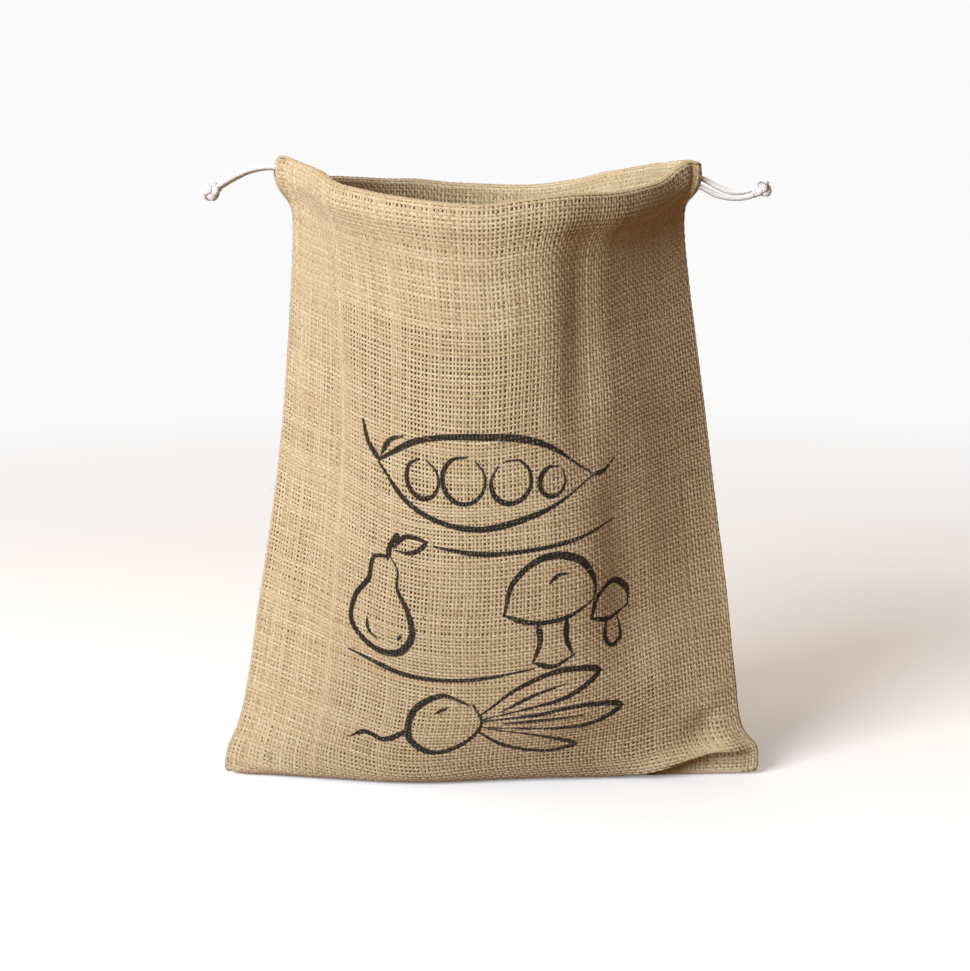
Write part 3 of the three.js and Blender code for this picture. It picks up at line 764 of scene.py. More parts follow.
    def _ink_cover(self, tree: bpy.types.NodeTree,
                   streak: bpy.types.NodeSocket) -> bpy.types.NodeSocket:
        """How much ink lies on the yarn.

        Args:
            tree: The material's tree.
            streak: The fibre streaks, which the ink skips here and there.

        Returns:
            Cover, from 0 to 1.
        """
        covers = []
        for channel in ("ink_near", "ink_next"):
            stroke = add_node(tree, "ShaderNodeAttribute", attribute_name=channel)
            parts = add_node(tree, "ShaderNodeSeparateXYZ", {0: stroke.outputs["Vector"]})
            beyond = add_node(tree, "ShaderNodeMath", {0: parts.outputs[1], 1: 0.0},
                              operation="MAXIMUM").outputs[0]
            lateral = add_node(tree, "ShaderNodeMath", {0: parts.outputs[0], 1: parts.outputs[0]},
                               operation="MULTIPLY").outputs[0]
            square = add_node(tree, "ShaderNodeMath", {0: beyond, 1: beyond, 2: lateral},
                              operation="MULTIPLY_ADD").outputs[0]
            away = add_node(tree, "ShaderNodeMath", {0: square}, operation="SQRT").outputs[0]
            inside = add_node(tree, "ShaderNodeMath", {0: parts.outputs[2], 1: away},
                              operation="SUBTRACT").outputs[0]
            ragged = add_node(tree, "ShaderNodeMath", {0: streak, 1: self.ink_ragged, 2: inside},
                              operation="MULTIPLY_ADD").outputs[0]
            covers.append(add_node(tree, "ShaderNodeMapRange", {
                "Value": ragged, "From Min": self.ink_edge[0],
                "From Max": self.ink_edge[1]}).outputs["Result"])
        cover = add_node(tree, "ShaderNodeMath", {0: covers[0], 1: covers[1]},
                         operation="MAXIMUM").outputs[0]
        outer = add_node(tree, "ShaderNodeAttribute", attribute_name="outer").outputs["Fac"]
        reach = add_node(tree, "ShaderNodeMapRange", {
            "Value": outer, "From Min": self.ink_reach[0],
            "From Max": self.ink_reach[1]}).outputs["Result"]
        return add_node(tree, "ShaderNodeMath", {0: cover, 1: reach},
                        operation="MULTIPLY").outputs[0]


@dataclass
class JuteThread(Finish):
    """Loose jute fibre and two-ply jute sewing thread: paler and smoother than the yarns."""

    name: str = "jute_thread"
    pale: str = "#CDBE9E"
    dark: str = "#9C8560"
    grain: float = 1.2  # shade changes over about this length
    roughness: float = 0.8

    def build(self) -> bpy.types.Material:
        """Makes the material.

        Returns:
            The finished material.
        """
        tree, output = self.start()
        place = add_node(tree, "ShaderNodeTexCoord").outputs["Object"]
        cloud = add_node(tree, "ShaderNodeTexNoise", {
            "Vector": place, "Scale": 1 / (self.grain * MM), "Detail": 2.0}).outputs["Fac"]
        colour = add_node(tree, "ShaderNodeMix", {
            "Factor": cloud, 6: linear(self.dark), 7: linear(self.pale)},
            data_type="RGBA").outputs[2]
        bump = add_node(tree, "ShaderNodeBump", {
            "Height": cloud, "Strength": 0.4, "Distance": 0.1 * MM}).outputs["Normal"]
        shader = add_node(tree, "ShaderNodeBsdfPrincipled", {
            "Base Color": colour, "Roughness": self.roughness, "IOR": 1.5,
            "Specular IOR Level": 0.3, "Sheen Weight": 0.2, "Normal": bump})
        return self.close(tree, output, shader)


@dataclass
class BraidedCotton(Finish):
    """Natural white cotton cord, braided: soft, matt, off-white, with painted shade in the braid's
    hollows.
    """

    name: str = "braided_cotton"
    pale: str = "#DCE2E7"
    # painted shade: the colour that the braid's hollows are darkened to
    hollow_shade: str = "#C6CCD1"
    roughness: float = 0.85
    sheen: float = 0.12
    translucence: float = 0.7  # light soaks through loose white cotton
    braid_slope: float = 40.0  # in degrees

    def build(self) -> bpy.types.Material:
        """Makes the material.

        Returns:
            The finished material.
        """
        tree, output = self.start()
        cord_map = add_node(tree, "ShaderNodeUVMap", uv_map="CordMap").outputs["UV"]
        # two sets of six strands cross round the cord, each once round in about 11 mm
        strands = []
        for turn in (1, -1):
            slanted = add_node(tree, "ShaderNodeMapping", {
                "Vector": cord_map,
                "Rotation": (0, 0, turn * math.radians(self.braid_slope))}).outputs[0]
            strands.append(add_node(tree, "ShaderNodeTexWave", {
                "Vector": slanted, "Scale": 0.26, "Distortion": 0.4, "Detail": 1.0},
                bands_direction="X").outputs["Fac"])
        braid = add_node(tree, "ShaderNodeMath", {0: strands[0], 1: strands[1]},
                         operation="MULTIPLY").outputs[0]
        fibre = add_node(tree, "ShaderNodeTexNoise", {
            "Vector": cord_map, "Scale": 2.4, "Detail": 3.0}).outputs["Fac"]
        height = add_node(tree, "ShaderNodeMath", {0: fibre, 1: 0.4, 2: braid},
                          operation="MULTIPLY_ADD").outputs[0]
        # the colour follows the relief and is darker where braid and fibre noise sink: painted
        # shade in the braid's hollows, with some random tone from the fibres
        colour = add_node(tree, "ShaderNodeMix", {
            "Factor": height, 6: linear(self.hollow_shade), 7: linear(self.pale)},
            data_type="RGBA").outputs[2]
        bump = add_node(tree, "ShaderNodeBump", {
            "Height": height, "Strength": 0.3, "Distance": 0.2 * MM}).outputs["Normal"]
        shader = add_node(tree, "ShaderNodeBsdfPrincipled", {
            "Base Color": colour, "Roughness": self.roughness, "IOR": 1.5,
            "Specular IOR Level": 0.3, "Sheen Weight": self.sheen, "Sheen Roughness": 0.4,
            "Subsurface Weight": self.translucence, "Subsurface Radius": (1.0, 1.0, 1.0),
            "Subsurface Scale": 0.5 * CORD_DIAMETER * MM, "Normal": bump})
        return self.close(tree, output, shader)


@dataclass
class StudioPaper(Finish):
    """Seamless pale paper under the bag, matt. Its glow is painted light: faint near the bag and
    full far off, where the paper's own colour fades out and the glow stands in for a backdrop lit
    from behind.
    """

    name: str = "studio_paper"
    pale: str = "#E9F0F9"
    tone: str = "#E6EDF6"
    near_m: float = 0.25  # from here outwards the paper turns into the backdrop
    far_m: float = 1.5
    near_glow: float = 0.2
    glow: float = 0.96
    bounce: str = "#97765A"  # what it throws back on the bag, as from a room and not a lightbox

    def build(self) -> bpy.types.Material:
        """Makes the material.

        Returns:
            The finished material.
        """
        tree, output = self.start()
        place = add_node(tree, "ShaderNodeTexCoord").outputs["Object"]
        cloud = add_node(tree, "ShaderNodeTexNoise", {
            "Vector": place, "Scale": 2.0, "Detail": 2.0}).outputs["Fac"]
        colour = add_node(tree, "ShaderNodeMix", {
            "Factor": cloud, 6: linear(self.tone), 7: linear(self.pale)},
            data_type="RGBA").outputs[2]
        away = add_node(tree, "ShaderNodeVectorMath", {0: place}, operation="LENGTH")
        # the glow is painted light: emission that brightens the paper for the camera in place of
        # lamp light, growing from faint near the bag to full far off while the paper's own colour
        # fades to black
        glow, faded = (
            add_node(tree, "ShaderNodeMapRange", {
                "Value": away.outputs["Value"], "From Min": self.near_m, "From Max": self.far_m,
                "To Min": near, "To Max": far}, interpolation_type="SMOOTHSTEP").outputs["Result"]
            for near, far in ((self.near_glow, self.glow), (0.0, 1.0)))
        colour = add_node(tree, "ShaderNodeMix", {
            "Factor": faded, 6: colour, 7: (0.0, 0.0, 0.0, 1.0)}, data_type="RGBA").outputs[2]
        shader = add_node(tree, "ShaderNodeBsdfPrincipled", {
            "Base Color": colour, "Roughness": 1.0, "Specular IOR Level": 0.0,
            "Emission Color": linear("#FFFFFF"), "Emission Strength": glow})
        dim = add_node(tree, "ShaderNodeBsdfDiffuse", {"Color": linear(self.bounce)})
        eye = add_node(tree, "ShaderNodeLightPath").outputs["Is Camera Ray"]
        both = add_node(tree, "ShaderNodeMixShader", {
            0: eye, 1: dim.outputs[0], 2: shader.outputs[0]})
        return self.close(tree, output, both)


# ---- the print -----------------------------------------------------------------------------
@dataclass(frozen=True)
class Stroke:
    """One brush stroke: the points it passes, in millimetres on the cloth, and its width."""

    points: tuple[tuple[float, float], ...]
    width: float = 2.4
    start: float = 0.45  # share of the width where the brush lands
    end: float = 0.3  # share where it lifts

    STEPS = 8
    LANDED = 0.22  # share of the stroke by which the brush is fully down
    LIFTING = 0.62  # and from which it lifts
    PRESSED = 0.6  # half width of the brush fully down, as a share of its width
    UNEVEN = 0.14

    def line(self, offset: tuple[float, float], size: float) -> tuple[np.ndarray, np.ndarray]:
        """The stroke's centre line and half width.

        Args:
            offset: Where its motif stands on the cloth.
            size: How much larger its motif is drawn.

        Returns:
            Points of the line, and the half width at each.
        """
        points = through(np.array(self.points, float) * size + offset, self.STEPS)
        share = np.linspace(0, 1, len(points))
        swell = np.minimum(
            self.start + (1 - self.start) * smooth(0, self.LANDED, share),
            1 - (1 - self.end) * smooth(self.LIFTING, 1, share))
        uneven = 1 + self.UNEVEN * np.sin(share * 9.0 + len(self.points) + self.width)
        return points, self.width * self.PRESSED * swell * uneven


def ring(x: float, y: float, across: float, high: float, start: float = 100, turn: float = 335,
         width: float = 2.2) -> Stroke:
    """A round stroke that stops just short of closing.

    Args:
        x: Its middle, sideways.
        y: Its middle, upwards.
        across: Its radius sideways.
        high: Its radius upwards.
        start: Where it begins, in degrees from the right.
        turn: How far it goes round, in degrees.
        width: Width of the brush.

    Returns:
        The stroke.
    """
    angles = np.radians(start + np.linspace(0, turn, 9))
    points = tuple((x + across * math.cos(a), y + high * math.sin(a)) for a in angles)
    return Stroke(points, width)


@dataclass(frozen=True)
class Motif:
    """A drawing made of brush strokes about its own middle."""

    name: str
    strokes: tuple[Stroke, ...]


PEA_POD = Motif("pea_pod", (
    Stroke(((-42, 4), (-24, 15), (-2, 18), (22, 13), (42, -1)), 3.0),
    Stroke(((-42, 3), (-28, -8), (-4, -14), (20, -11), (43, -2)), 2.8),
    Stroke(((-42, 4), (-47, 8), (-50, 15)), 3.0, 0.8, 0.5),
    Stroke(((-41, 6), (-37, 12), (-31, 15)), 2.2),
    Stroke(((43, -2), (48, -2), (53, 1)), 2.0),
    ring(-23, 2, 6.5, 6.8), ring(-7, 3, 8.0, 8.2, 80), ring(10.5, 1.5, 7.4, 7.6, 130),
    ring(26, -0.5, 5.0, 5.2, 60),
))
PEAR = Motif("pear", (
    Stroke(((2, 20), (-6, 17), (-8.5, 6), (-16, -6), (-16.5, -19), (-4, -27), (10, -25),
            (17, -15), (14, -3), (8, 6), (7.5, 15), (3.5, 20)), 3.0),
    Stroke(((2, 19), (3, 25), (7, 31)), 3.0, 0.5, 0.9),
    Stroke(((5, 25), (12, 32), (22, 31), (15, 25), (6, 24)), 2.2),
    Stroke(((-8, -13), (-7, -19), (-2, -22)), 1.8),
    Stroke(((10, -18), (10.8, -17)), 1.8, 1.0, 1.0),
))
MUSHROOMS = Motif("mushrooms", (
    Stroke(((-26, -3), (-22, 12), (-8, 21), (8, 17), (16, 4), (15, -3)), 3.2),
    Stroke(((-26, -3), (-14, -8), (2, -8), (15, -3)), 2.4),
    Stroke(((-11, -8), (-10, -18), (-13, -27)), 2.6),
    Stroke(((2, -8), (2, -18), (5, -26)), 2.6),
    Stroke(((-13, -27), (-4, -30), (6, -26)), 2.2),
    Stroke(((-6, 9), (-2, 12), (3, 12)), 1.8),
    Stroke(((14, -12), (17, -3), (27, 1), (35, -6), (35, -13)), 2.8),
    Stroke(((14, -12), (24, -15.5), (35, -13)), 2.0),
    Stroke(((22, -15), (21.5, -24), (25, -28), (30, -26), (28.5, -15)), 2.2),
))
RADISH = Motif("radish", (
    Stroke(((-22, 8), (-34, 12), (-45, 4), (-45, -8), (-34, -15), (-22, -10), (-17, -1),
            (-21, 8)), 3.0),
    Stroke(((-46, -5), (-55, -11), (-64, -10), (-70, -14)), 2.6, 0.9, 0.25),
    Stroke(((-18, 3), (-4, 14), (14, 20), (30, 16), (19, 9), (2, 5), (-17, 1)), 2.6),
    Stroke(((-17, 0), (2, 1), (22, 3), (40, -2), (28, -7), (8, -6), (-17, -3)), 2.4),
    Stroke(((-18, -5), (-6, -14), (10, -19), (22, -17), (10, -11), (-14, -4)), 2.2),
    Stroke(((-10, 4), (4, 11), (16, 14)), 1.6),
    Stroke(((-8, -2), (10, -1.5), (24, -2)), 1.6),
    Stroke(((-36, 4), (-31, 7)), 1.8),
))
LONG_RULE = Motif("long_rule", (Stroke(((-34, 1), (-10, -1.5), (14, -1), (36, 1.5)), 2.2),))


@dataclass(frozen=True)
class BrushPrint:
    """Brush drawings of vegetables and fruit in stacked rows, with short rules between them."""

    layout: tuple[tuple[Motif, float, float, float], ...] = (  # motif, middle, size
        (PEA_POD, -4, 204, 1.55), (LONG_RULE, 20, 170, 1.55), (PEAR, -64, 136, 1.18),
        (MUSHROOMS, 40, 136, 1.26), (LONG_RULE, -32, 96, 1.55), (RADISH, 20, 67, 1.4),
    )
    REACH = 4.0  # a face further than this from a stroke's middle line has no ink

    def lines(self) -> list[tuple[np.ndarray, np.ndarray]]:
        """Every stroke's centre line and half width, placed on the cloth."""
        return [
            stroke.line((x, y), size)
            for motif, x, y, size in self.layout for stroke in motif.strokes]

    def lay(self, mesh: bpy.types.Mesh, spots: np.ndarray) -> None:
        """Stores, at each face corner, where it lies beside its two nearest strokes.

        Args:
            mesh: Yarns that are printed.
            spots: Each point's place on the flat cloth.
        """
        loops, count = corner_points(mesh), len(mesh.polygons)
        totals = np.empty(count, np.int32)
        mesh.polygons.foreach_get("loop_total", totals)
        owner = np.repeat(np.arange(count), totals)
        middle = np.zeros((count, 2))
        np.add.at(middle, owner, spots[loops])
        middle /= totals[:, None]
        far_off = np.array([99.0, 0.0, 0.0])
        nearest = np.full((2, count), 1e9)
        segments = np.zeros((2, count, 8))  # start, end, half widths, open ends
        for line, half in self.lines():
            low, high = line.min(0) - self.REACH, line.max(0) + self.REACH
            close = np.nonzero(np.all((middle > low) & (middle < high), axis=1))[0]
            if not len(close):
                continue
            a, b = line[:-1], line[1:]
            run = b - a
            length = np.maximum((run**2).sum(1), 1e-9)
            t = np.clip(((middle[close, None] - a) * run).sum(2) / length, 0, 1)
            gap = np.linalg.norm(middle[close, None] - a - t[..., None] * run, axis=2)
            pick = gap.argmin(1)
            distance = gap[np.arange(len(close)), pick]
            ends = np.stack([pick == 0, pick == len(a) - 1], 1).astype(float)
            facts = np.hstack([
                a[pick], b[pick], half[:-1][pick][:, None], half[1:][pick][:, None], ends])
            better = distance < nearest[0, close]
            moved = close[better]
            nearest[1, moved], segments[1, moved] = nearest[0, moved], segments[0, moved]
            nearest[0, moved], segments[0, moved] = distance[better], facts[better]
            second = ~better & (distance < nearest[1, close])
            nearest[1, close[second]] = distance[second]
            segments[1, close[second]] = facts[second]
        for name, found, gap in zip(("ink_near", "ink_next"), segments, nearest):
            seg = found[owner]
            run = seg[:, 2:4] - seg[:, 0:2]
            length = np.maximum(np.linalg.norm(run, axis=1), 1e-6)
            run = run / length[:, None]
            offset = spots[loops] - seg[:, 0:2]
            along = (offset * run).sum(1)
            lateral = run[:, 0] * offset[:, 1] - run[:, 1] * offset[:, 0]
            beyond = np.maximum(
                np.where(seg[:, 6] > 0, -along, -9.0),
                np.where(seg[:, 7] > 0, along - length, -9.0))
            share = np.clip(along / length, 0, 1)
            half = seg[:, 4] * (1 - share) + seg[:, 5] * share
            values = np.stack([lateral, beyond, half], 1)
            values[gap[owner] > self.REACH] = far_off
            store(mesh, name, values, "CORNER")


# ---- the woven panels ----------------------------------------------------------------------
@dataclass
class Loom:
    """Sizes of the hessian: spacing, yarn section and unevenness."""

    end_pitch: float = 2.1
    pick_pitch: float = 2.25
    end_width: float = 1.74
    pick_width: float = 1.74
    pick_proud: float = 0.015  # how far the picks are moved out, and the ends in
    yarn_thickness: float = 0.46
    crown: float = 0.6  # width of a flattened yarn's outer face, as a share of the whole
    weave_height: float = 0.15
    uneven_spacing: float = 0.16
    bow: float = 1.1  # how far picks stray from straight
    stray: float = 0.7  # and how far ends do
    slub: float = 0.13
    width_drift: float = 0.1  # how far the yarns' width drifts over a panel

    def width(self, yarns: Set) -> float:
        """Width of a set's yarns."""
        return self.end_width if yarns is Set.WARP else self.pick_width

    def tree(self) -> bpy.types.NodeTree:
        """Tree that turns guide lines into yarns which pass over and under each other."""
        tree = new_group("lay_yarns", (
            ("Yarn Width", "NodeSocketFloat"), ("Yarn Thickness", "NodeSocketFloat"),
            ("Weave Height", "NodeSocketFloat"), ("Yarn Finish", "NodeSocketMaterial")))
        given = add_node(tree, "NodeGroupInput").outputs

        def named(name: str, kind: str) -> bpy.types.NodeSocket:
            """A guide line's attribute."""
            return add_node(tree, "GeometryNodeInputNamedAttribute", {"Name": name},
                            data_type=kind).outputs[0]

        outward = named("outward", "FLOAT_VECTOR")
        lift = add_node(tree, "ShaderNodeMath", {
            0: named("crossing", "FLOAT"), 1: given["Weave Height"]},
            operation="MULTIPLY").outputs[0]
        offset = add_node(tree, "ShaderNodeVectorMath", {0: outward, "Scale": lift},
                          operation="SCALE").outputs[0]
        waved = add_node(tree, "GeometryNodeSetPosition", {
            "Geometry": given["Geometry"], "Offset": offset}).outputs[0]
        lines = add_node(tree, "GeometryNodeMeshToCurve", {"Mesh": waved}).outputs[0]
        turned = add_node(tree, "GeometryNodeSetCurveNormal", {
            "Curve": lines, "Normal": outward}, mode="FREE").outputs[0]
        crown = add_node(tree, "ShaderNodeMath", {0: given["Yarn Width"], 1: self.crown},
                         operation="MULTIPLY").outputs[0]
        section = add_node(tree, "GeometryNodeCurvePrimitiveQuadrilateral", {
            "Bottom Width": given["Yarn Width"], "Top Width": crown, "Offset": 0.0,
            "Height": given["Yarn Thickness"]}, mode="TRAPEZOID").outputs[0]
        section = add_node(tree, "GeometryNodeTransform", {
            "Geometry": section, "Rotation": (0.0, 0.0, -math.pi / 2)}).outputs[0]
        number = add_node(tree, "GeometryNodeInputIndex").outputs[0]
        section = add_node(tree, "GeometryNodeStoreNamedAttribute", {
            "Geometry": section, "Name": "round", "Value": number},
            data_type="FLOAT", domain="POINT").outputs[0]
        tubes = add_node(tree, "GeometryNodeCurveToMesh", {
            "Curve": turned, "Profile Curve": section, "Scale": named("slub", "FLOAT"),
            "Fill Caps": True}).outputs[0]
        tubes = add_node(tree, "GeometryNodeSetShadeSmooth", {"Geometry": tubes}).outputs[0]
        end_tree(tree, tubes, given["Yarn Finish"])
        return tree


@dataclass
class Crossings:
    """Where the ends and picks of one panel cross: arrays by end, then by pick."""

    across: np.ndarray
    strip: np.ndarray
    place: np.ndarray
    outward: np.ndarray
    present: np.ndarray
    width: np.ndarray


class WovenPanel:
    """One hessian panel, woven over its standing shape, with its casing turned in."""

    SLOPE_STEP = 0.9  # length to each side from which the strip's slope is read
    CUT_PLACE = 0.9  # place across from which the hem is cut right back
    EDGE_SLACK = 0.1  # a pick that lands on the hem's edge is kept
    BACK_CLOSER = 0.24  # the back is woven closer than the front

    def __init__(self, shape: PanelShape, loom: Loom, seed: int) -> None:
        """Sets up the panel; the seed fixes its unevenness."""
        self.shape = shape
        self.surface = PanelSurface(shape)
        self.loom = loom
        self.name = shape.side.name.lower()
        self.rng = np.random.default_rng(seed)
        self.crossings = self._cross()

    def _cross(self) -> Crossings:
        """Finds every crossing of the cloth.

        Returns:
            The crossings, on the panel's middle surface.
        """
        loom, rng = self.loom, self.rng
        ends = int(round(PANEL_WIDTH / loom.end_pitch)) + 1
        sections = [casing_section(a) for a in np.linspace(-1, 1, ends)]
        runs = [
            np.concatenate([[0], np.cumsum(np.hypot(*np.diff(rows, axis=0).T))])
            for rows in sections]
        longest = max(run[-1] for run in runs)
        picks = int(longest / loom.pick_pitch) + 1
        x_gaps = 1 + loom.uneven_spacing * rng.normal(0, 1, ends - 1).clip(-1.5, 1.5)
        s_gaps = 1 + loom.uneven_spacing * rng.normal(0, 1, picks - 1).clip(-1.5, 1.5)
        x = np.concatenate([[0], np.cumsum(x_gaps)]) / x_gaps.sum() * 2 - 1
        s = np.concatenate([[0], np.cumsum(s_gaps)]) / s_gaps.sum() * (longest - 0.2)
        shape = (ends, picks)
        middle = (1 - np.abs(x) ** 6)[:, None]
        stray = loom.stray / (PANEL_WIDTH / 2)
        across = x[:, None] + stray * drift(rng, shape, (14, 9)) * middle
        strip = s[None] + loom.bow * drift(rng, shape, (6, 10)) * middle * (
            smooth(0, 30, s) * (1 - smooth(longest - 40, longest - 20, s)))[None]
        along = np.empty(shape)
        out = np.empty(shape)
        lean = np.empty((*shape, 2))
        present = np.empty(shape, bool)
        for k, (rows, run) in enumerate(zip(sections, runs)):
            here, after, before = (
                np.stack([np.interp(at, run, rows[:, c]) for c in (0, 1)], -1)
                for at in (strip[k], strip[k] + self.SLOPE_STEP, strip[k] - self.SLOPE_STEP))
            along[k], out[k] = here.T
            lean[k] = unit(after - before)
            # where the hem is cut back its last pick keeps clear of the cord coming out
            trim = loom.pick_width / 2 if abs(x[k]) > self.CUT_PLACE else -self.EDGE_SLACK
            present[k] = strip[k] <= run[-1] - trim
        point, outward, upward = self.surface.read(across, along)
        point = point + outward * out[..., None]
        turned = outward * lean[..., :1] - upward * lean[..., 1:]
        point[..., 2] = np.maximum(point[..., 2], CLOTH_THICKNESS / 2)
        girth = loom.width_drift * drift(rng, shape, (9, 8))
        width = 1 + girth + self._density(across, strip)
        return Crossings(across, strip, point, turned, present, width)

    def _density(self, across: np.ndarray, strip: np.ndarray) -> np.ndarray:
        """How much wider the yarns spread where the cloth is closer.

        Args:
            across: Places across the panel.
            strip: Lengths along the cloth, over the rim and down the hem.

        Returns:
            Share of the yarn's width to add.
        """
        edge = 0.13 * smooth(0.6, 0.95, np.abs(across)) + 0.07 * (1 - smooth(20, 80, strip))
        if self.shape.side is Side.BACK:
            return self.BACK_CLOSER + edge
        # closer near the rim and towards the seams, looser high up at mid front and in the row
        # just above the casing's stitches
        upper = 0.23 * smooth(270, 296, strip) + 0.08 * smooth(0.3, 0.7, -across)
        middle = -0.09 * np.exp(-((across / 0.42) ** 2)) * smooth(150, 230, strip)
        loose = 0.1 * np.exp(-(((strip - 335) / 3.4) ** 2))
        shaded = 0.05 * smooth(0.35, 0.7, across)
        return edge + upper + middle + shaded - loose - 0.07

    def _lines(self, yarns: Set) -> list[np.ndarray]:
        """Runs of crossings that a set's yarns pass through.

        Args:
            yarns: Which set.

        Returns:
            For each yarn's run, its (end, pick) pairs.
        """
        present = self.crossings.present
        grid = present if yarns is Set.WARP else present.T
        runs = []
        for lane, row in enumerate(grid):
            edges = np.flatnonzero(np.diff(np.concatenate([[False], row, [False]]).astype(int)))
            for start, stop in zip(edges[::2], edges[1::2]):
                if stop - start < 3:
                    continue
                steps = np.arange(start, stop)
                lanes = np.full(len(steps), lane)
                runs.append(np.stack(
                    [lanes, steps] if yarns is Set.WARP else [steps, lanes], 1))
        return runs

    def weave(self, yarns: Set, tree: bpy.types.NodeTree, finish: bpy.types.Material,
              artwork: BrushPrint | None) -> bpy.types.Object:
        """Makes the ends or the picks of the panel.

        Args:
            yarns: Which set of yarns.
            tree: Tree that lays yarns along guide lines.
            finish: The yarns' material.
            artwork: What is printed on the panel, if anything.

        Returns:
            The finished piece.
        """
        runs = self._lines(yarns)
        pairs = np.concatenate(runs)
        i, k = pairs.T
        found = self.crossings
        number = np.arange(len(pairs))
        last = np.cumsum([len(run) for run in runs]) - 1
        edges = np.stack([number[:-1], number[1:]], 1)
        edges = np.delete(edges, last[:-1], axis=0)
        lane = i if yarns is Set.WARP else k
        step = k if yarns is Set.WARP else i
        over = np.where((i + k) % 2 == 0, 1.0, -1.0) * (1 if yarns is Set.WARP else -1)
        shape = found.place.shape[:2] if yarns is Set.WARP else found.place.shape[1::-1]
        own = 1 + self.loom.slub * self.rng.normal(0, 0.55, shape[0]).clip(-1, 1.3)[:, None]
        own = own + self.loom.slub * 0.9 * drift(self.rng, shape, (shape[0], shape[1] // 5))
        slub = own[lane, step] * found.width[i, k]
        proud = self.loom.pick_proud * (-1 if yarns is Set.WARP else 1)
        places = found.place[i, k] + proud * found.outward[i, k]
        guide = new_object(f"{yarns.value}_{self.name}", places, edges)
        mesh = guide.data
        store(mesh, "outward", found.outward[i, k])
        for name, values in (("crossing", over), ("slub", slub), ("lane", lane),
                             ("step", step), ("cloth_x", found.across[i, k] * PANEL_WIDTH / 2),
                             ("cloth_s", found.strip[i, k])):
            store(mesh, name, np.asarray(values, float))
        piece = run_tree(guide, tree, {
            "Yarn Width": self.loom.width(yarns) * MM,
            "Yarn Thickness": self.loom.yarn_thickness * MM,
            "Weave Height": self.loom.weave_height * MM, "Yarn Finish": finish})
        self._map(piece.data, yarns, shape)
        if artwork is not None:
            artwork.lay(piece.data, self._spots(piece.data, yarns))
        for name in ("outward", "crossing", "slub", "cloth_x", "cloth_s", "step", "round"):
            piece.data.attributes.remove(piece.data.attributes[name])
        return piece

    def _spots(self, mesh: bpy.types.Mesh, yarns: Set) -> np.ndarray:
        """Each point's place on the flat cloth, in millimetres."""
        spots = np.stack([fetch(mesh, "cloth_x"), fetch(mesh, "cloth_s")], 1)
        number = fetch(mesh, "round").round().astype(int)
        # seen from outside, vertices 1 and 2 of a section are on an end's right and below a pick
        crown = self.loom.crown
        aside = np.array([-crown, crown, 1, -1])[number] * self.loom.width(yarns) / 2
        if yarns is Set.WARP:
            spots[:, 0] += aside
        else:
            spots[:, 1] -= aside
        return spots

    def _map(self, mesh: bpy.types.Mesh, yarns: Set, shape: tuple[int, int]) -> None:
        """Writes the yarns' maps: one for baking and one in millimetres for the pattern.

        Args:
            mesh: The yarns.
            yarns: Which set they are.
            shape: How many yarns, and how many crossings on each.
        """
        lane, step, number = (fetch(mesh, name) for name in ("lane", "step", "round"))
        corner = corner_points(mesh).reshape(-1, 4)  # every face has four
        numbers = number[corner].round()
        steps = step[corner]
        cap = steps.max(1) == steps.min(1)
        wraps = (numbers.max(1) == 3) & (numbers.min(1) == 0) & ~cap
        numbers = np.where(wraps[:, None] & (numbers == 0), 4, numbers)
        girth = 2 * math.hypot(self.loom.width(yarns), self.loom.yarn_thickness)
        pitch = self.loom.pick_pitch if yarns is Set.WARP else self.loom.end_pitch
        first = numbers.min(1)[:, None]
        # each yarn has a column of the baking map, with its four faces side by side and apart,
        # and its two ends above them
        margin, pace, wide = 0.04, 0.23, 0.20
        u = (lane[corner] + margin + pace * first + wide * (numbers - first)) / shape[0]
        v = 0.01 + 0.95 * steps / (shape[1] - 1)
        square = np.array([[0, 0], [1, 0], [1, 1], [0, 1]])
        upper = steps[:, :1] > 1
        cap_u = (lane[corner] + 0.1 + 0.4 * upper + 0.3 * square[:, 0]) / shape[0]
        cap_v = 0.972 + 0.02 * square[:, 1]
        bake = np.stack([
            np.where(cap[:, None], cap_u, u), np.where(cap[:, None], cap_v, v)], -1)
        write_map(mesh, "OFBake", bake.reshape(-1, 2))
        yarn = np.stack([numbers * girth / 4, steps * pitch], -1)
        write_map(mesh, "YarnMap", yarn.reshape(-1, 2))
        store(mesh, "outer", np.array([1.0, 1.0, 0.0, 0.0])[number.round().astype(int)])


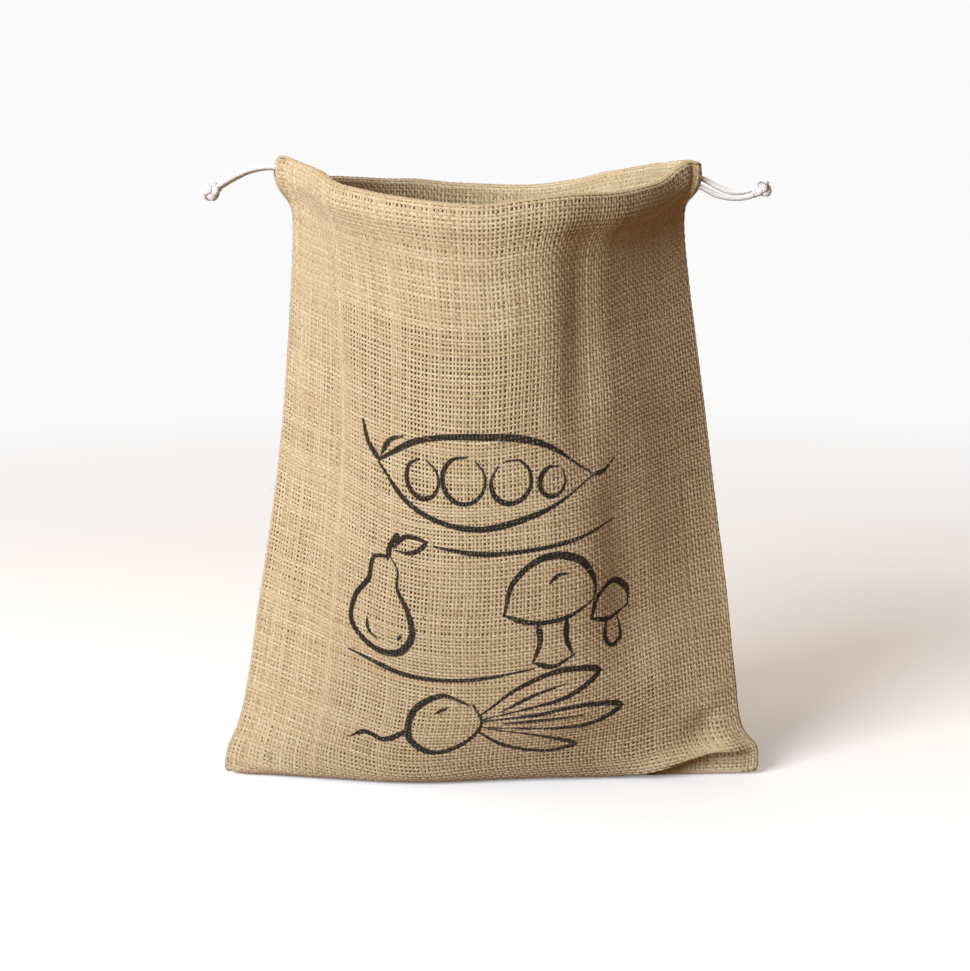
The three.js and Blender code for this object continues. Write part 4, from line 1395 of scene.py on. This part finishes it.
# ---- the drawcords and their knots ---------------------------------------------------------
def sweep(name: str, path: np.ndarray, radii: Callable[[np.ndarray, np.ndarray], np.ndarray],
          sides: int, columns: int, facing: np.ndarray | None = None) -> bpy.types.Object:
    """A closed tube along a path, with a map for baking and one in millimetres.

    Args:
        name: Name of the piece.
        path: Points of its centre line.
        radii: Gives the radius from the angle round the tube and the distance down it.
        sides: Faces round the tube.
        columns: Lengths that the baking map lays side by side.
        facing: Direction that angle 0 looks in at the start, or None for any.

    Returns:
        The tube.
    """
    run = np.concatenate([[0], np.cumsum(np.linalg.norm(np.diff(path, axis=0), axis=1))])
    tangent = unit(np.gradient(path, axis=0))
    side = np.array([0.0, 0.0, 1.0]) if facing is None else facing
    frames = []
    for direction in tangent:  # the frame is carried along the path without twisting
        side = unit(side - direction * (side @ direction))
        frames.append((side, np.cross(direction, side)))
    first, second = (np.array([f[k] for f in frames])[:, None] for k in (0, 1))
    angle = 2 * np.pi * np.arange(sides) / sides
    radius = radii(angle[None], run[:, None])[..., None]
    points = path[:, None] + radius * (
        np.cos(angle)[None, :, None] * first + np.sin(angle)[None, :, None] * second)
    rings, last = len(path), len(path) * sides
    points = np.concatenate([points.reshape(-1, 3), path[:1], path[-1:]])
    k, j = np.meshgrid(np.arange(rings - 1), np.arange(sides), indexing="ij")
    after = (j + 1) % sides
    faces = np.stack([
        k * sides + j, k * sides + after, (k + 1) * sides + after, (k + 1) * sides + j],
        -1).reshape(-1, 4).tolist()
    for j0 in range(sides):
        j1 = (j0 + 1) % sides
        faces.append([last, j1, j0])
        faces.append([last + 1, (rings - 1) * sides + j0, (rings - 1) * sides + j1])
    piece = new_object(name, points, None, faces)
    mesh = piece.data
    girth = 2 * math.pi * float(np.mean(radius))
    part = (k / (rings - 1) * columns).astype(int).clip(0, columns - 1)
    per = (rings - 1) / columns
    around = np.stack([j, j + 1, j + 1, j], -1) / sides
    down = np.stack([k, k, k + 1, k + 1], -1)
    u = (part[..., None] + 0.03 + 0.94 * around) / columns
    v = 0.01 + 0.95 * (down - part[..., None] * per) / (per + 1)
    bake = np.stack([u, v], -1).reshape(-1, 2)
    fine = np.stack([around * girth, run[down]], -1).reshape(-1, 2)
    caps = np.tile(np.array([[0.5, 0.99], [0.9, 0.98], [0.1, 0.98]]), (2 * sides, 1))
    caps[:, 0] = (np.repeat(np.arange(2 * sides), 3) + caps[:, 0]) / (2 * sides)
    write_map(mesh, "OFBake", np.concatenate([bake, caps]))
    write_map(mesh, "CordMap", np.concatenate([fine, np.zeros_like(caps)]))
    shade_smooth(mesh)
    return piece


def joined(name: str, pieces: Sequence[bpy.types.Object]) -> bpy.types.Object:
    """Pieces made one object.

    Args:
        name: Name of the whole.
        pieces: Mesh objects at the origin.

    Returns:
        The whole.
    """
    with bpy.context.temp_override(active_object=pieces[0], selected_editable_objects=pieces):
        bpy.ops.object.join()
    pieces[0].name = pieces[0].data.name = name
    return pieces[0]


Strand = tuple[tuple[float, float, float], ...]


@dataclass(frozen=True)
class Drawcord:
    """One cotton drawcord: a loop through both casings, its two ends brought out at a corner."""

    name: str
    side: int  # -1 comes out at the left corner of the mouth, 1 at the right
    drop: float
    length_m: float
    front_end: Strand  # from the casing to the knot
    back_end: Strand
    exit_place: float = 0.87  # place across at which the ends leave the casing
    bight_place: float = 0.88  # and at which the far bight turns
    bight_reach: float = 2.4
    sides: int = 20
    step: int = 15

    def exit_m(self) -> tuple[float, ...]:
        """Where the cord comes out of the casing, in metres."""
        return tuple(c * MM for c in self.front_end[4 if self.side < 0 else 3])

    def _casing_run(self, surface: PanelSurface, start: float, stop: float) -> np.ndarray:
        """Middle of a casing's tunnel from one place across to another."""
        low, high = min(start, stop), max(start, stop)
        between = [c for c in COLUMNS if low + 0.015 < c < high - 0.015]
        places = np.array([low, *between, high])[::1 if start < stop else -1]
        return surface.read(places, np.full(len(places), PANEL_LENGTH - self.drop))[0]

    def route(self, front: PanelSurface, back: PanelSurface) -> np.ndarray:
        """The cord's whole way.

        Args:
            front: Surface of the front panel.
            back: Surface of the back panel.

        Returns:
            Points from the front end, round the far bight, to the back end.
        """
        exit_at, bight = self.side * self.exit_place, -self.side * self.bight_place
        front_run = self._casing_run(front, exit_at, bight)
        back_run = self._casing_run(back, bight, exit_at)
        turn = []
        for angle in np.pi * np.arange(1, 4) / 4:
            share = (1 - math.cos(angle)) / 2
            point = front_run[-1] * (1 - share) + back_run[0] * share
            point[0] -= self.side * self.bight_reach * math.sin(angle)
            turn.append(point)
        points = np.concatenate([
            np.array(self.front_end)[::-1], front_run, np.array(turn), back_run,
            np.array(self.back_end)])
        return through(points, self.step)

    def build(self, front: PanelSurface, back: PanelSurface,
              finish: bpy.types.Material) -> tuple[bpy.types.Object, np.ndarray]:
        """Makes the cord.

        Args:
            front: Surface of the front panel.
            back: Surface of the back panel.
            finish: The cord's material.

        Returns:
            The cord, and the points that it follows.
        """
        path = self.route(front, back)
        # the relief has three crests each way, once round in 9 mm; the finish draws finer strands
        lay = 2 * math.pi / 9.0

        def braid(angle: np.ndarray, down: np.ndarray) -> np.ndarray:
            """Radius of the braided cord, proud where two strands cross."""
            crossing = np.cos(3 * (angle + lay * down)) * np.cos(3 * (angle - lay * down))
            return CORD_DIAMETER / 2 * (1 + 0.03 * crossing)

        cord = sweep(self.name, path, braid, self.sides, 10)
        cord.data.materials.append(finish)
        return cord, path * MM


LEFT_CORD = Drawcord(
    "cotton_cord_left", -1, UPPER_CORD_DROP, 0.659,
    ((-102.6, -9.8, 335.2), (-106.2, -5.8, 336.4), (-110.2, -3.0, 338.0), (-114.5, -1.9, 339.1),
     (-119.5, -1.8, 339.6), (-125.5, -1.8, 339.1), (-131.5, -1.8, 337.6), (-137.8, -1.8, 334.8),
     (-143.0, -1.8, 331.9), (-146.8, -1.75, 329.5)),
    ((-101.6, 9.7, 332.1), (-105.2, 5.4, 334.2), (-110.0, 2.8, 337.0), (-114.5, 1.9, 338.6),
     (-119.5, 1.8, 339.0), (-125.5, 1.8, 338.3), (-131.4, 1.8, 336.6), (-137.4, 1.8, 333.8),
     (-142.5, 1.8, 330.9), (-146.2, 1.75, 328.6)))
RIGHT_CORD = Drawcord(
    "cotton_cord_right", 1, LOWER_CORD_DROP, 0.650,
    ((99.2, -9.0, 330.0), (102.5, -4.6, 330.5), (106.9, -2.1, 330.2), (112.2, -1.9, 328.9),
     (116.2, -1.9, 326.9), (120.8, -1.85, 324.6), (126.4, -1.8, 323.2), (132.6, -1.8, 322.8),
     (137.6, -1.8, 323.5), (141.0, -1.75, 324.5)),
    ((100.2, 9.2, 330.2), (103.8, 4.9, 331.6), (108.5, 2.3, 333.6), (113.5, 1.9, 333.0),
     (118.2, 1.85, 330.6), (123.2, 1.8, 328.0), (129.0, 1.8, 326.0), (134.6, 1.8, 325.8),
     (138.2, 1.8, 326.6), (140.6, 1.75, 327.4)))


@dataclass(frozen=True)
class OverhandKnot:
    """Both ends of a cord tied together in one overhand knot, their cut tails frayed."""

    name: str
    cord: Drawcord
    turn: float  # how far the knot is turned about the line of the cords, in degrees
    tail_lean: float  # which way the tails lean, in degrees
    tail_spread: float  # and how far they lean apart
    bulk: float  # how much larger than the least it is drawn up
    lobe: float = 0.86
    depth: float = 2.2
    strand_radius: float = 1.9
    spread: float = 1.2
    tail: float = 2.6
    sides: int = 12
    lead_steps: int = 8
    frays: int = 14
    fray_sides: int = 4
    fray_radius: float = 0.11
    fray_size: tuple[float, float] = (0.6, 1.3)

    def _strand(self, angle: np.ndarray, down: np.ndarray) -> np.ndarray:
        """Radius of the cord inside the knot, proud where two strands cross."""
        crossing = np.cos(3 * (angle + down * 0.7)) * np.cos(3 * (angle - down * 0.7))
        return self.strand_radius * self.bulk * (1 + 0.05 * crossing)

    @staticmethod
    def _tail(angle: np.ndarray, down: np.ndarray) -> np.ndarray:
        """Radius of a cut tail, which opens towards its end."""
        return 1.1 + 0.06 * down**2 + 0.1 * np.sin(5 * angle + 2 * down)

    def _fray(self, angle: np.ndarray, down: np.ndarray) -> np.ndarray:
        """Radius of a loose thread of the tail, the same all along."""
        return self.fray_radius + 0 * angle + 0 * down

    def build(self, rng: np.random.Generator, finish: bpy.types.Material) -> bpy.types.Object:
        """Makes the knot at the end of its cord.

        Args:
            rng: Source of the frays' unevenness.
            finish: The cord's material.

        Returns:
            The knot.
        """
        front, back = np.array(self.cord.front_end), np.array(self.cord.back_end)
        ahead = unit(front[-1] - front[-2])
        middle = (front[-1] + back[-1]) / 2
        reach = max(front[-1] @ ahead, back[-1] @ ahead) + PIECE_GAP
        start = middle + ahead * (reach - middle @ ahead)
        level = unit(np.cross(ahead, (0.0, 1.0, 0.0)))
        turn = math.radians(self.turn)
        across = np.array((0.0, -1.0, 0.0)) * math.cos(turn) + level * math.sin(turn)
        third = np.cross(ahead, across)
        centre = start + ahead * KNOT_LENGTH * 0.46
        t = np.linspace(0, 2 * np.pi, 73)
        pieces = []
        for twin in (-1, 1):
            local = self.bulk * np.stack([
                self.lobe * (np.sin(t) + 2 * np.sin(2 * t)),
                self.lobe * (np.cos(t) - 2 * np.cos(2 * t)),
                self.depth * -np.sin(3 * t) + twin * self.spread * np.cos(1.5 * t) ** 2], 1)
            local[:, 0] += twin * self.spread * 0.45 * np.sin(t)
            loop = centre + local @ np.stack([ahead, third, across])
            pieces.append(sweep(self.name, loop, self._strand, self.sides, 1))
            lead = np.linspace(front[-1] if twin < 0 else back[-1], centre, self.lead_steps)
            lead = lead + ahead * PIECE_GAP
            pieces.append(sweep(self.name, lead, self._strand, self.sides, 1))
            lean = math.radians(self.tail_lean + twin * self.tail_spread)
            out = unit(ahead * math.cos(lean) + third * math.sin(lean) + across * 0.25 * twin)
            root = centre + out * 2.4 * self.bulk
            tip = root + out * self.tail
            pieces.append(sweep(
                self.name, np.linspace(root, tip, self.lead_steps), self._tail, self.sides, 1))
            for _ in range(self.frays):
                aim = unit(out + rng.normal(0, 0.34, 3))
                foot = tip - out * 0.9 + np.cross(out, rng.normal(0, 0.62, 3))
                bend = unit(aim + rng.normal(0, 0.3, 3))
                half = rng.uniform(*self.fray_size) * 0.5
                fray = np.array([foot, foot + aim * half, foot + (aim + bend) * half])
                pieces.append(sweep(self.name, fray, self._fray, self.fray_sides, 1))
        knot = joined(self.name, pieces)
        knot.data.materials.clear()
        knot.data.materials.append(finish)
        return knot


# ---- stitches and loose fibres -------------------------------------------------------------
@dataclass
class CasingStitches:
    """The row of machine stitches that holds a casing down, in pale jute thread."""

    pitch: float = 4.2
    length: float = 3.3
    thread: float = 0.75
    sunk: float = 0.24  # how far a stitch's middle lies below the faces of the yarns
    reach: float = 0.9  # place across at which the row starts and ends

    def tree(self) -> bpy.types.NodeTree:
        """Tree that sets one stitch after another along a line."""
        tree = new_group("set_stitches", (
            ("Stitch Pitch", "NodeSocketFloat"), ("Stitch Length", "NodeSocketFloat"),
            ("Thread Width", "NodeSocketFloat"), ("Thread Finish", "NodeSocketMaterial")))
        given = add_node(tree, "NodeGroupInput").outputs
        line = add_node(tree, "GeometryNodeMeshToCurve", {"Mesh": given["Geometry"]}).outputs[0]
        spots = add_node(tree, "GeometryNodeCurveToPoints", {
            "Curve": line, "Length": given["Stitch Pitch"]}, mode="LENGTH").outputs
        outward = add_node(tree, "GeometryNodeInputNamedAttribute", {"Name": "outward"},
                           data_type="FLOAT_VECTOR").outputs[0]
        turned = add_node(tree, "FunctionNodeAxesToRotation", {
            0: spots["Tangent"], 1: outward}, primary_axis="X", secondary_axis="Z").outputs[0]
        grain = add_node(tree, "GeometryNodeMeshUVSphere", {
            "Segments": 6, "Rings": 5, "Radius": 0.5}).outputs["Mesh"]
        grain = add_node(tree, "GeometryNodeSetShadeSmooth", {"Geometry": grain}).outputs[0]
        size = add_node(tree, "ShaderNodeCombineXYZ", {
            "X": given["Stitch Length"], "Y": given["Thread Width"],
            "Z": given["Thread Width"]}).outputs[0]
        set_down = add_node(tree, "GeometryNodeInstanceOnPoints", {
            "Points": spots["Points"], "Instance": grain, "Rotation": turned,
            "Scale": size}).outputs[0]
        end_tree(tree, set_down, given["Thread Finish"])
        return tree

    def sew(self, panel: WovenPanel, tree: bpy.types.NodeTree,
            finish: bpy.types.Material) -> bpy.types.Object:
        """Sews the row on one panel.

        Args:
            panel: The panel.
            tree: Tree that sets the stitches.
            finish: The thread's material.

        Returns:
            The row of stitches.
        """
        across = np.linspace(-self.reach, self.reach, 120)
        point, outward, _ = panel.surface.read(across, PANEL_LENGTH - CASING_DEPTH)
        layer_gap = (CLOTH_THICKNESS + PIECE_GAP) / 2
        out = layer_gap + panel.loom.weave_height + panel.loom.yarn_thickness / 2 - self.sunk
        number = np.arange(len(across) - 1)
        guide = new_object(f"casing_stitches_{panel.name}", point + outward * out,
                           np.stack([number, number + 1], 1))
        store(guide.data, "outward", outward)
        return run_tree(guide, tree, {
            "Stitch Pitch": self.pitch * MM, "Stitch Length": self.length * MM,
            "Thread Width": self.thread * MM, "Thread Finish": finish})


@dataclass
class LooseFibres:
    """Hairs of jute that stand off the cloth, as they do on every hessian."""

    count: int = 2200
    length: float = 3.8
    thickness: float = 0.11
    sizes: tuple[float, float] = (0.4, 1.3)  # least and most, as shares of the length
    rooted: float = 0.35  # how far out from the cloth's middle a hair starts
    stand: tuple[float, float] = (0.05, 0.45)  # how steeply it stands off the cloth
    lowest: float = 8.0  # none start nearer to the floor than this
    highest: float = 322.0  # or further up the cloth than this
    seed: int = 5

    def tree(self) -> bpy.types.NodeTree:
        """Tree that stands a bent hair at each point."""
        tree = new_group("raise_fibres", (
            ("Fibre Length", "NodeSocketFloat"), ("Fibre Thickness", "NodeSocketFloat"),
            ("Seed", "NodeSocketInt"), ("Fibre Finish", "NodeSocketMaterial")))
        given = add_node(tree, "NodeGroupInput").outputs
        aim = add_node(tree, "GeometryNodeInputNamedAttribute", {"Name": "aim"},
                       data_type="FLOAT_VECTOR").outputs[0]
        turned = add_node(tree, "FunctionNodeAlignRotationToVector", {"Vector": aim},
                          axis="Z").outputs[0]
        roll = add_node(tree, "FunctionNodeRandomValue", {
            2: 0.0, 3: 2 * math.pi, "Seed": given["Seed"]}, data_type="FLOAT").outputs[1]
        rolled = add_node(tree, "FunctionNodeAxisAngleToRotation", {
            "Axis": (0.0, 0.0, 1.0), "Angle": roll}).outputs[0]
        turned = add_node(tree, "FunctionNodeRotateRotation", {
            "Rotation": turned, "Rotate By": rolled}, rotation_space="LOCAL").outputs[0]
        size = add_node(tree, "FunctionNodeRandomValue", {
            2: self.sizes[0], 3: self.sizes[1], "Seed": given["Seed"]},
            data_type="FLOAT").outputs[1]
        hair = add_node(tree, "GeometryNodeCurveQuadraticBezier", {
            "Resolution": 3, "Start": (0, 0, 0), "Middle": (0, 0, 0.6),
            "End": (0.55, 0.1, 0.75)}).outputs[0]
        hair = add_node(tree, "GeometryNodeTransform", {
            "Geometry": hair, "Scale": given["Fibre Length"]}).outputs[0]
        section = add_node(tree, "GeometryNodeCurvePrimitiveCircle", {
            "Resolution": 3, "Radius": given["Fibre Thickness"]}).outputs["Curve"]
        hair = add_node(tree, "GeometryNodeCurveToMesh", {
            "Curve": hair, "Profile Curve": section, "Scale": 0.5,
            "Fill Caps": True}).outputs[0]
        stood = add_node(tree, "GeometryNodeInstanceOnPoints", {
            "Points": given["Geometry"], "Instance": hair, "Rotation": turned,
            "Scale": size}).outputs[0]
        end_tree(tree, stood, given["Fibre Finish"])
        return tree

    def raise_on(self, panel: WovenPanel, tree: bpy.types.NodeTree,
                 finish: bpy.types.Material) -> bpy.types.Object:
        """Raises the hairs on one panel.

        Args:
            panel: The panel.
            tree: Tree that stands a hair at each point.
            finish: The fibres' material.

        Returns:
            The hairs.
        """
        found = panel.crossings
        i, k = np.nonzero(found.present & (found.place[..., 2] > self.lowest)
                          & (found.strip < self.highest))
        pick = panel.rng.choice(len(i), self.count, replace=False)
        i, k = i[pick], k[pick]
        outward = found.outward[i, k]
        lying = unit(panel.rng.normal(0, 1, (self.count, 3)))
        lying = unit(lying - outward * (lying * outward).sum(1, keepdims=True))
        aim = unit(outward * panel.rng.uniform(*self.stand, (self.count, 1)) + lying)
        roots = found.place[i, k] + outward * self.rooted
        guide = new_object(f"loose_fibres_{panel.name}", roots)
        store(guide.data, "aim", aim)
        return run_tree(guide, tree, {
            "Fibre Length": self.length * MM, "Fibre Thickness": self.thickness * MM,
            "Seed": self.seed, "Fibre Finish": finish})


# ---- the studio ----------------------------------------------------------------------------
@dataclass(frozen=True)
class Lamp:
    """A square area light that looks at the bag's middle."""

    name: str
    place: tuple[float, float, float]
    size: float
    watts: float
    tint: str


@dataclass
class Studio:
    """Camera, pale floor and soft light."""

    camera_place: tuple[float, float, float] = (-3.5, -1362.0, 415.2)
    tilt_down: float = 10.4
    lens: float = 93.4
    sensor: float = 36.0
    floor_half: float = 6000.0
    backdrop: float = 0.96  # the pale walls as they are seen
    wall_left: float = 0.30  # what they shed on the bag from the left
    wall_right: float = 0.17  # from the right
    wall_behind: float = 0.9  # and from the far end, behind the bag
    wall_tint: str = "#FFD3AC"
    behind_tint: str = "#FFF3E4"
    lamps: tuple[Lamp, ...] = (
        Lamp("key", (-1360, -1770, 1150), 1300, 94.0, "#FFFFFF"),
        Lamp("top", (-500, -300, 2000), 900, 10.0, "#FFD9B4"))
    aim_height: float = 170.0

    def set_camera(self) -> bpy.types.Object:
        """Places the camera in front of the bag, a little above its rim.

        Returns:
            The scene's camera.
        """
        data = bpy.data.cameras.new("camera")
        data.lens, data.sensor_width, data.sensor_fit = self.lens, self.sensor, "HORIZONTAL"
        data.clip_start, data.clip_end = 0.05, 60.0
        camera = bpy.data.objects.new("camera", data)
        camera.location = Vector(self.camera_place) * MM
        camera.rotation_euler = (math.radians(90 - self.tilt_down), 0.0, 0.0)
        bpy.context.scene.collection.objects.link(camera)
        bpy.context.scene.camera = camera
        return camera

    def lay_floor(self, finish: bpy.types.Material) -> bpy.types.Object:
        """Lays the floor under the bag.

        Args:
            finish: The floor's material.

        Returns:
            The floor.
        """
        reach = self.floor_half
        corners = np.array([
            (-reach, -reach, 0), (reach, -reach, 0), (reach, reach, 0), (-reach, reach, 0)])
        floor = new_object("floor", corners, None, [(0, 1, 2, 3)])
        floor.data.materials.append(finish)
        return floor

    def light(self) -> None:
        """Hangs a large soft lamp to the front left and a weak one above, in a pale world.

        What the walls shed falls from left to right, and the far end adds light from behind.
        """
        scene = bpy.context.scene
        scene.view_settings.view_transform = "Standard"
        world = bpy.data.worlds.new("studio")
        scene.world = world
        world.use_nodes = True
        tree = world.node_tree
        direction = add_node(tree, "ShaderNodeTexCoord").outputs["Generated"]
        parts = add_node(tree, "ShaderNodeSeparateXYZ", {0: direction})
        shed = add_node(tree, "ShaderNodeMapRange", {
            "Value": parts.outputs[0], "From Min": -0.8, "From Max": 0.5,
            "To Min": self.wall_left, "To Max": self.wall_right}).outputs["Result"]
        walls = tree.nodes["Background"]
        walls.inputs["Color"].default_value = linear(self.wall_tint)
        tree.links.new(shed, walls.inputs["Strength"])
        rear = add_node(tree, "ShaderNodeMapRange", {
            "Value": parts.outputs[1], "From Min": 0.3, "From Max": 0.95,
            "To Min": 0.0, "To Max": self.wall_behind}).outputs["Result"]
        behind = add_node(tree, "ShaderNodeBackground", {
            "Color": linear(self.behind_tint), "Strength": rear}).outputs[0]
        room = add_node(tree, "ShaderNodeAddShader", {0: walls.outputs[0], 1: behind}).outputs[0]
        seen = add_node(tree, "ShaderNodeBackground", {
            "Color": linear("#FFFFFF"), "Strength": self.backdrop}).outputs[0]
        eye = add_node(tree, "ShaderNodeLightPath").outputs["Is Camera Ray"]
        both = add_node(tree, "ShaderNodeMixShader", {0: eye, 1: room, 2: seen})
        tree.links.new(both.outputs[0], tree.nodes["World Output"].inputs["Surface"])
        for lamp in self.lamps:
            data = bpy.data.lights.new(lamp.name, "AREA")
            data.shape, data.size, data.energy = "SQUARE", lamp.size * MM, lamp.watts
            data.color = linear(lamp.tint)[:3]
            light = bpy.data.objects.new(lamp.name, data)
            light.location = Vector(lamp.place) * MM
            aim = Vector((0, 0, self.aim_height * MM)) - light.location
            light.rotation_euler = aim.to_track_quat("-Z", "Y").to_euler()
            scene.collection.objects.link(light)


def main() -> None:
    """Builds the bag and its studio, and reports each piece."""
    logging.basicConfig(level=logging.INFO, format="%(name)s: %(message)s")
    studio = Studio()
    studio.set_camera()
    loom = Loom()
    tree = loom.tree()
    plain = SpunJute().build()
    printed = SpunJute(name="spun_jute_printed", printed=True).build()
    thread = JuteThread().build()
    stitches, fibres = CasingStitches(), LooseFibres()
    stitch_tree, fibre_tree = stitches.tree(), fibres.tree()
    surfaces: list[PanelSurface] = []
    for shape, seed, finish, artwork in (
            (FRONT_SHAPE, 11, printed, BrushPrint()), (BACK_SHAPE, 23, plain, None)):
        panel = WovenPanel(shape, loom, seed)
        surfaces.append(panel.surface)
        warp = panel.weave(Set.WARP, tree, finish, artwork)
        weft = panel.weave(Set.WEFT, tree, finish, artwork)
        seam = stitches.sew(panel, stitch_tree, thread)
        hairs = fibres.raise_on(panel, fibre_tree, thread)
        for piece in (warp, weft, seam, hairs):
            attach(piece, BODY)
            LOG.info("%s: %d triangles", piece.name, triangles(piece))
        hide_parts(f"{panel.name}_panel")
        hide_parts(f"{panel.name}_panel")
    front, back = surfaces
    cotton = BraidedCotton().build()
    rng = np.random.default_rng(7)
    for cord, knot in (
            (LEFT_CORD, OverhandKnot("cotton_knot_left", LEFT_CORD, 12, -16, 18, 1.14)),
            (RIGHT_CORD, OverhandKnot("cotton_knot_right", RIGHT_CORD, -20, -4, 38, 1.0))):
        line, path = cord.build(front, back, cotton)
        tied = knot.build(rng, cotton)
        for piece, node in ((line, "drawcord"), (tied, "knot")):
            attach(piece, BODY)
            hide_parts(f"{node}_{'left' if cord.side < 0 else 'right'}")
            LOG.info("%s: %d triangles", piece.name, triangles(piece))
        cord.exit_m()
    studio.lay_floor(StudioPaper().build())
    studio.light()


if __name__ == "__main__":
    main()
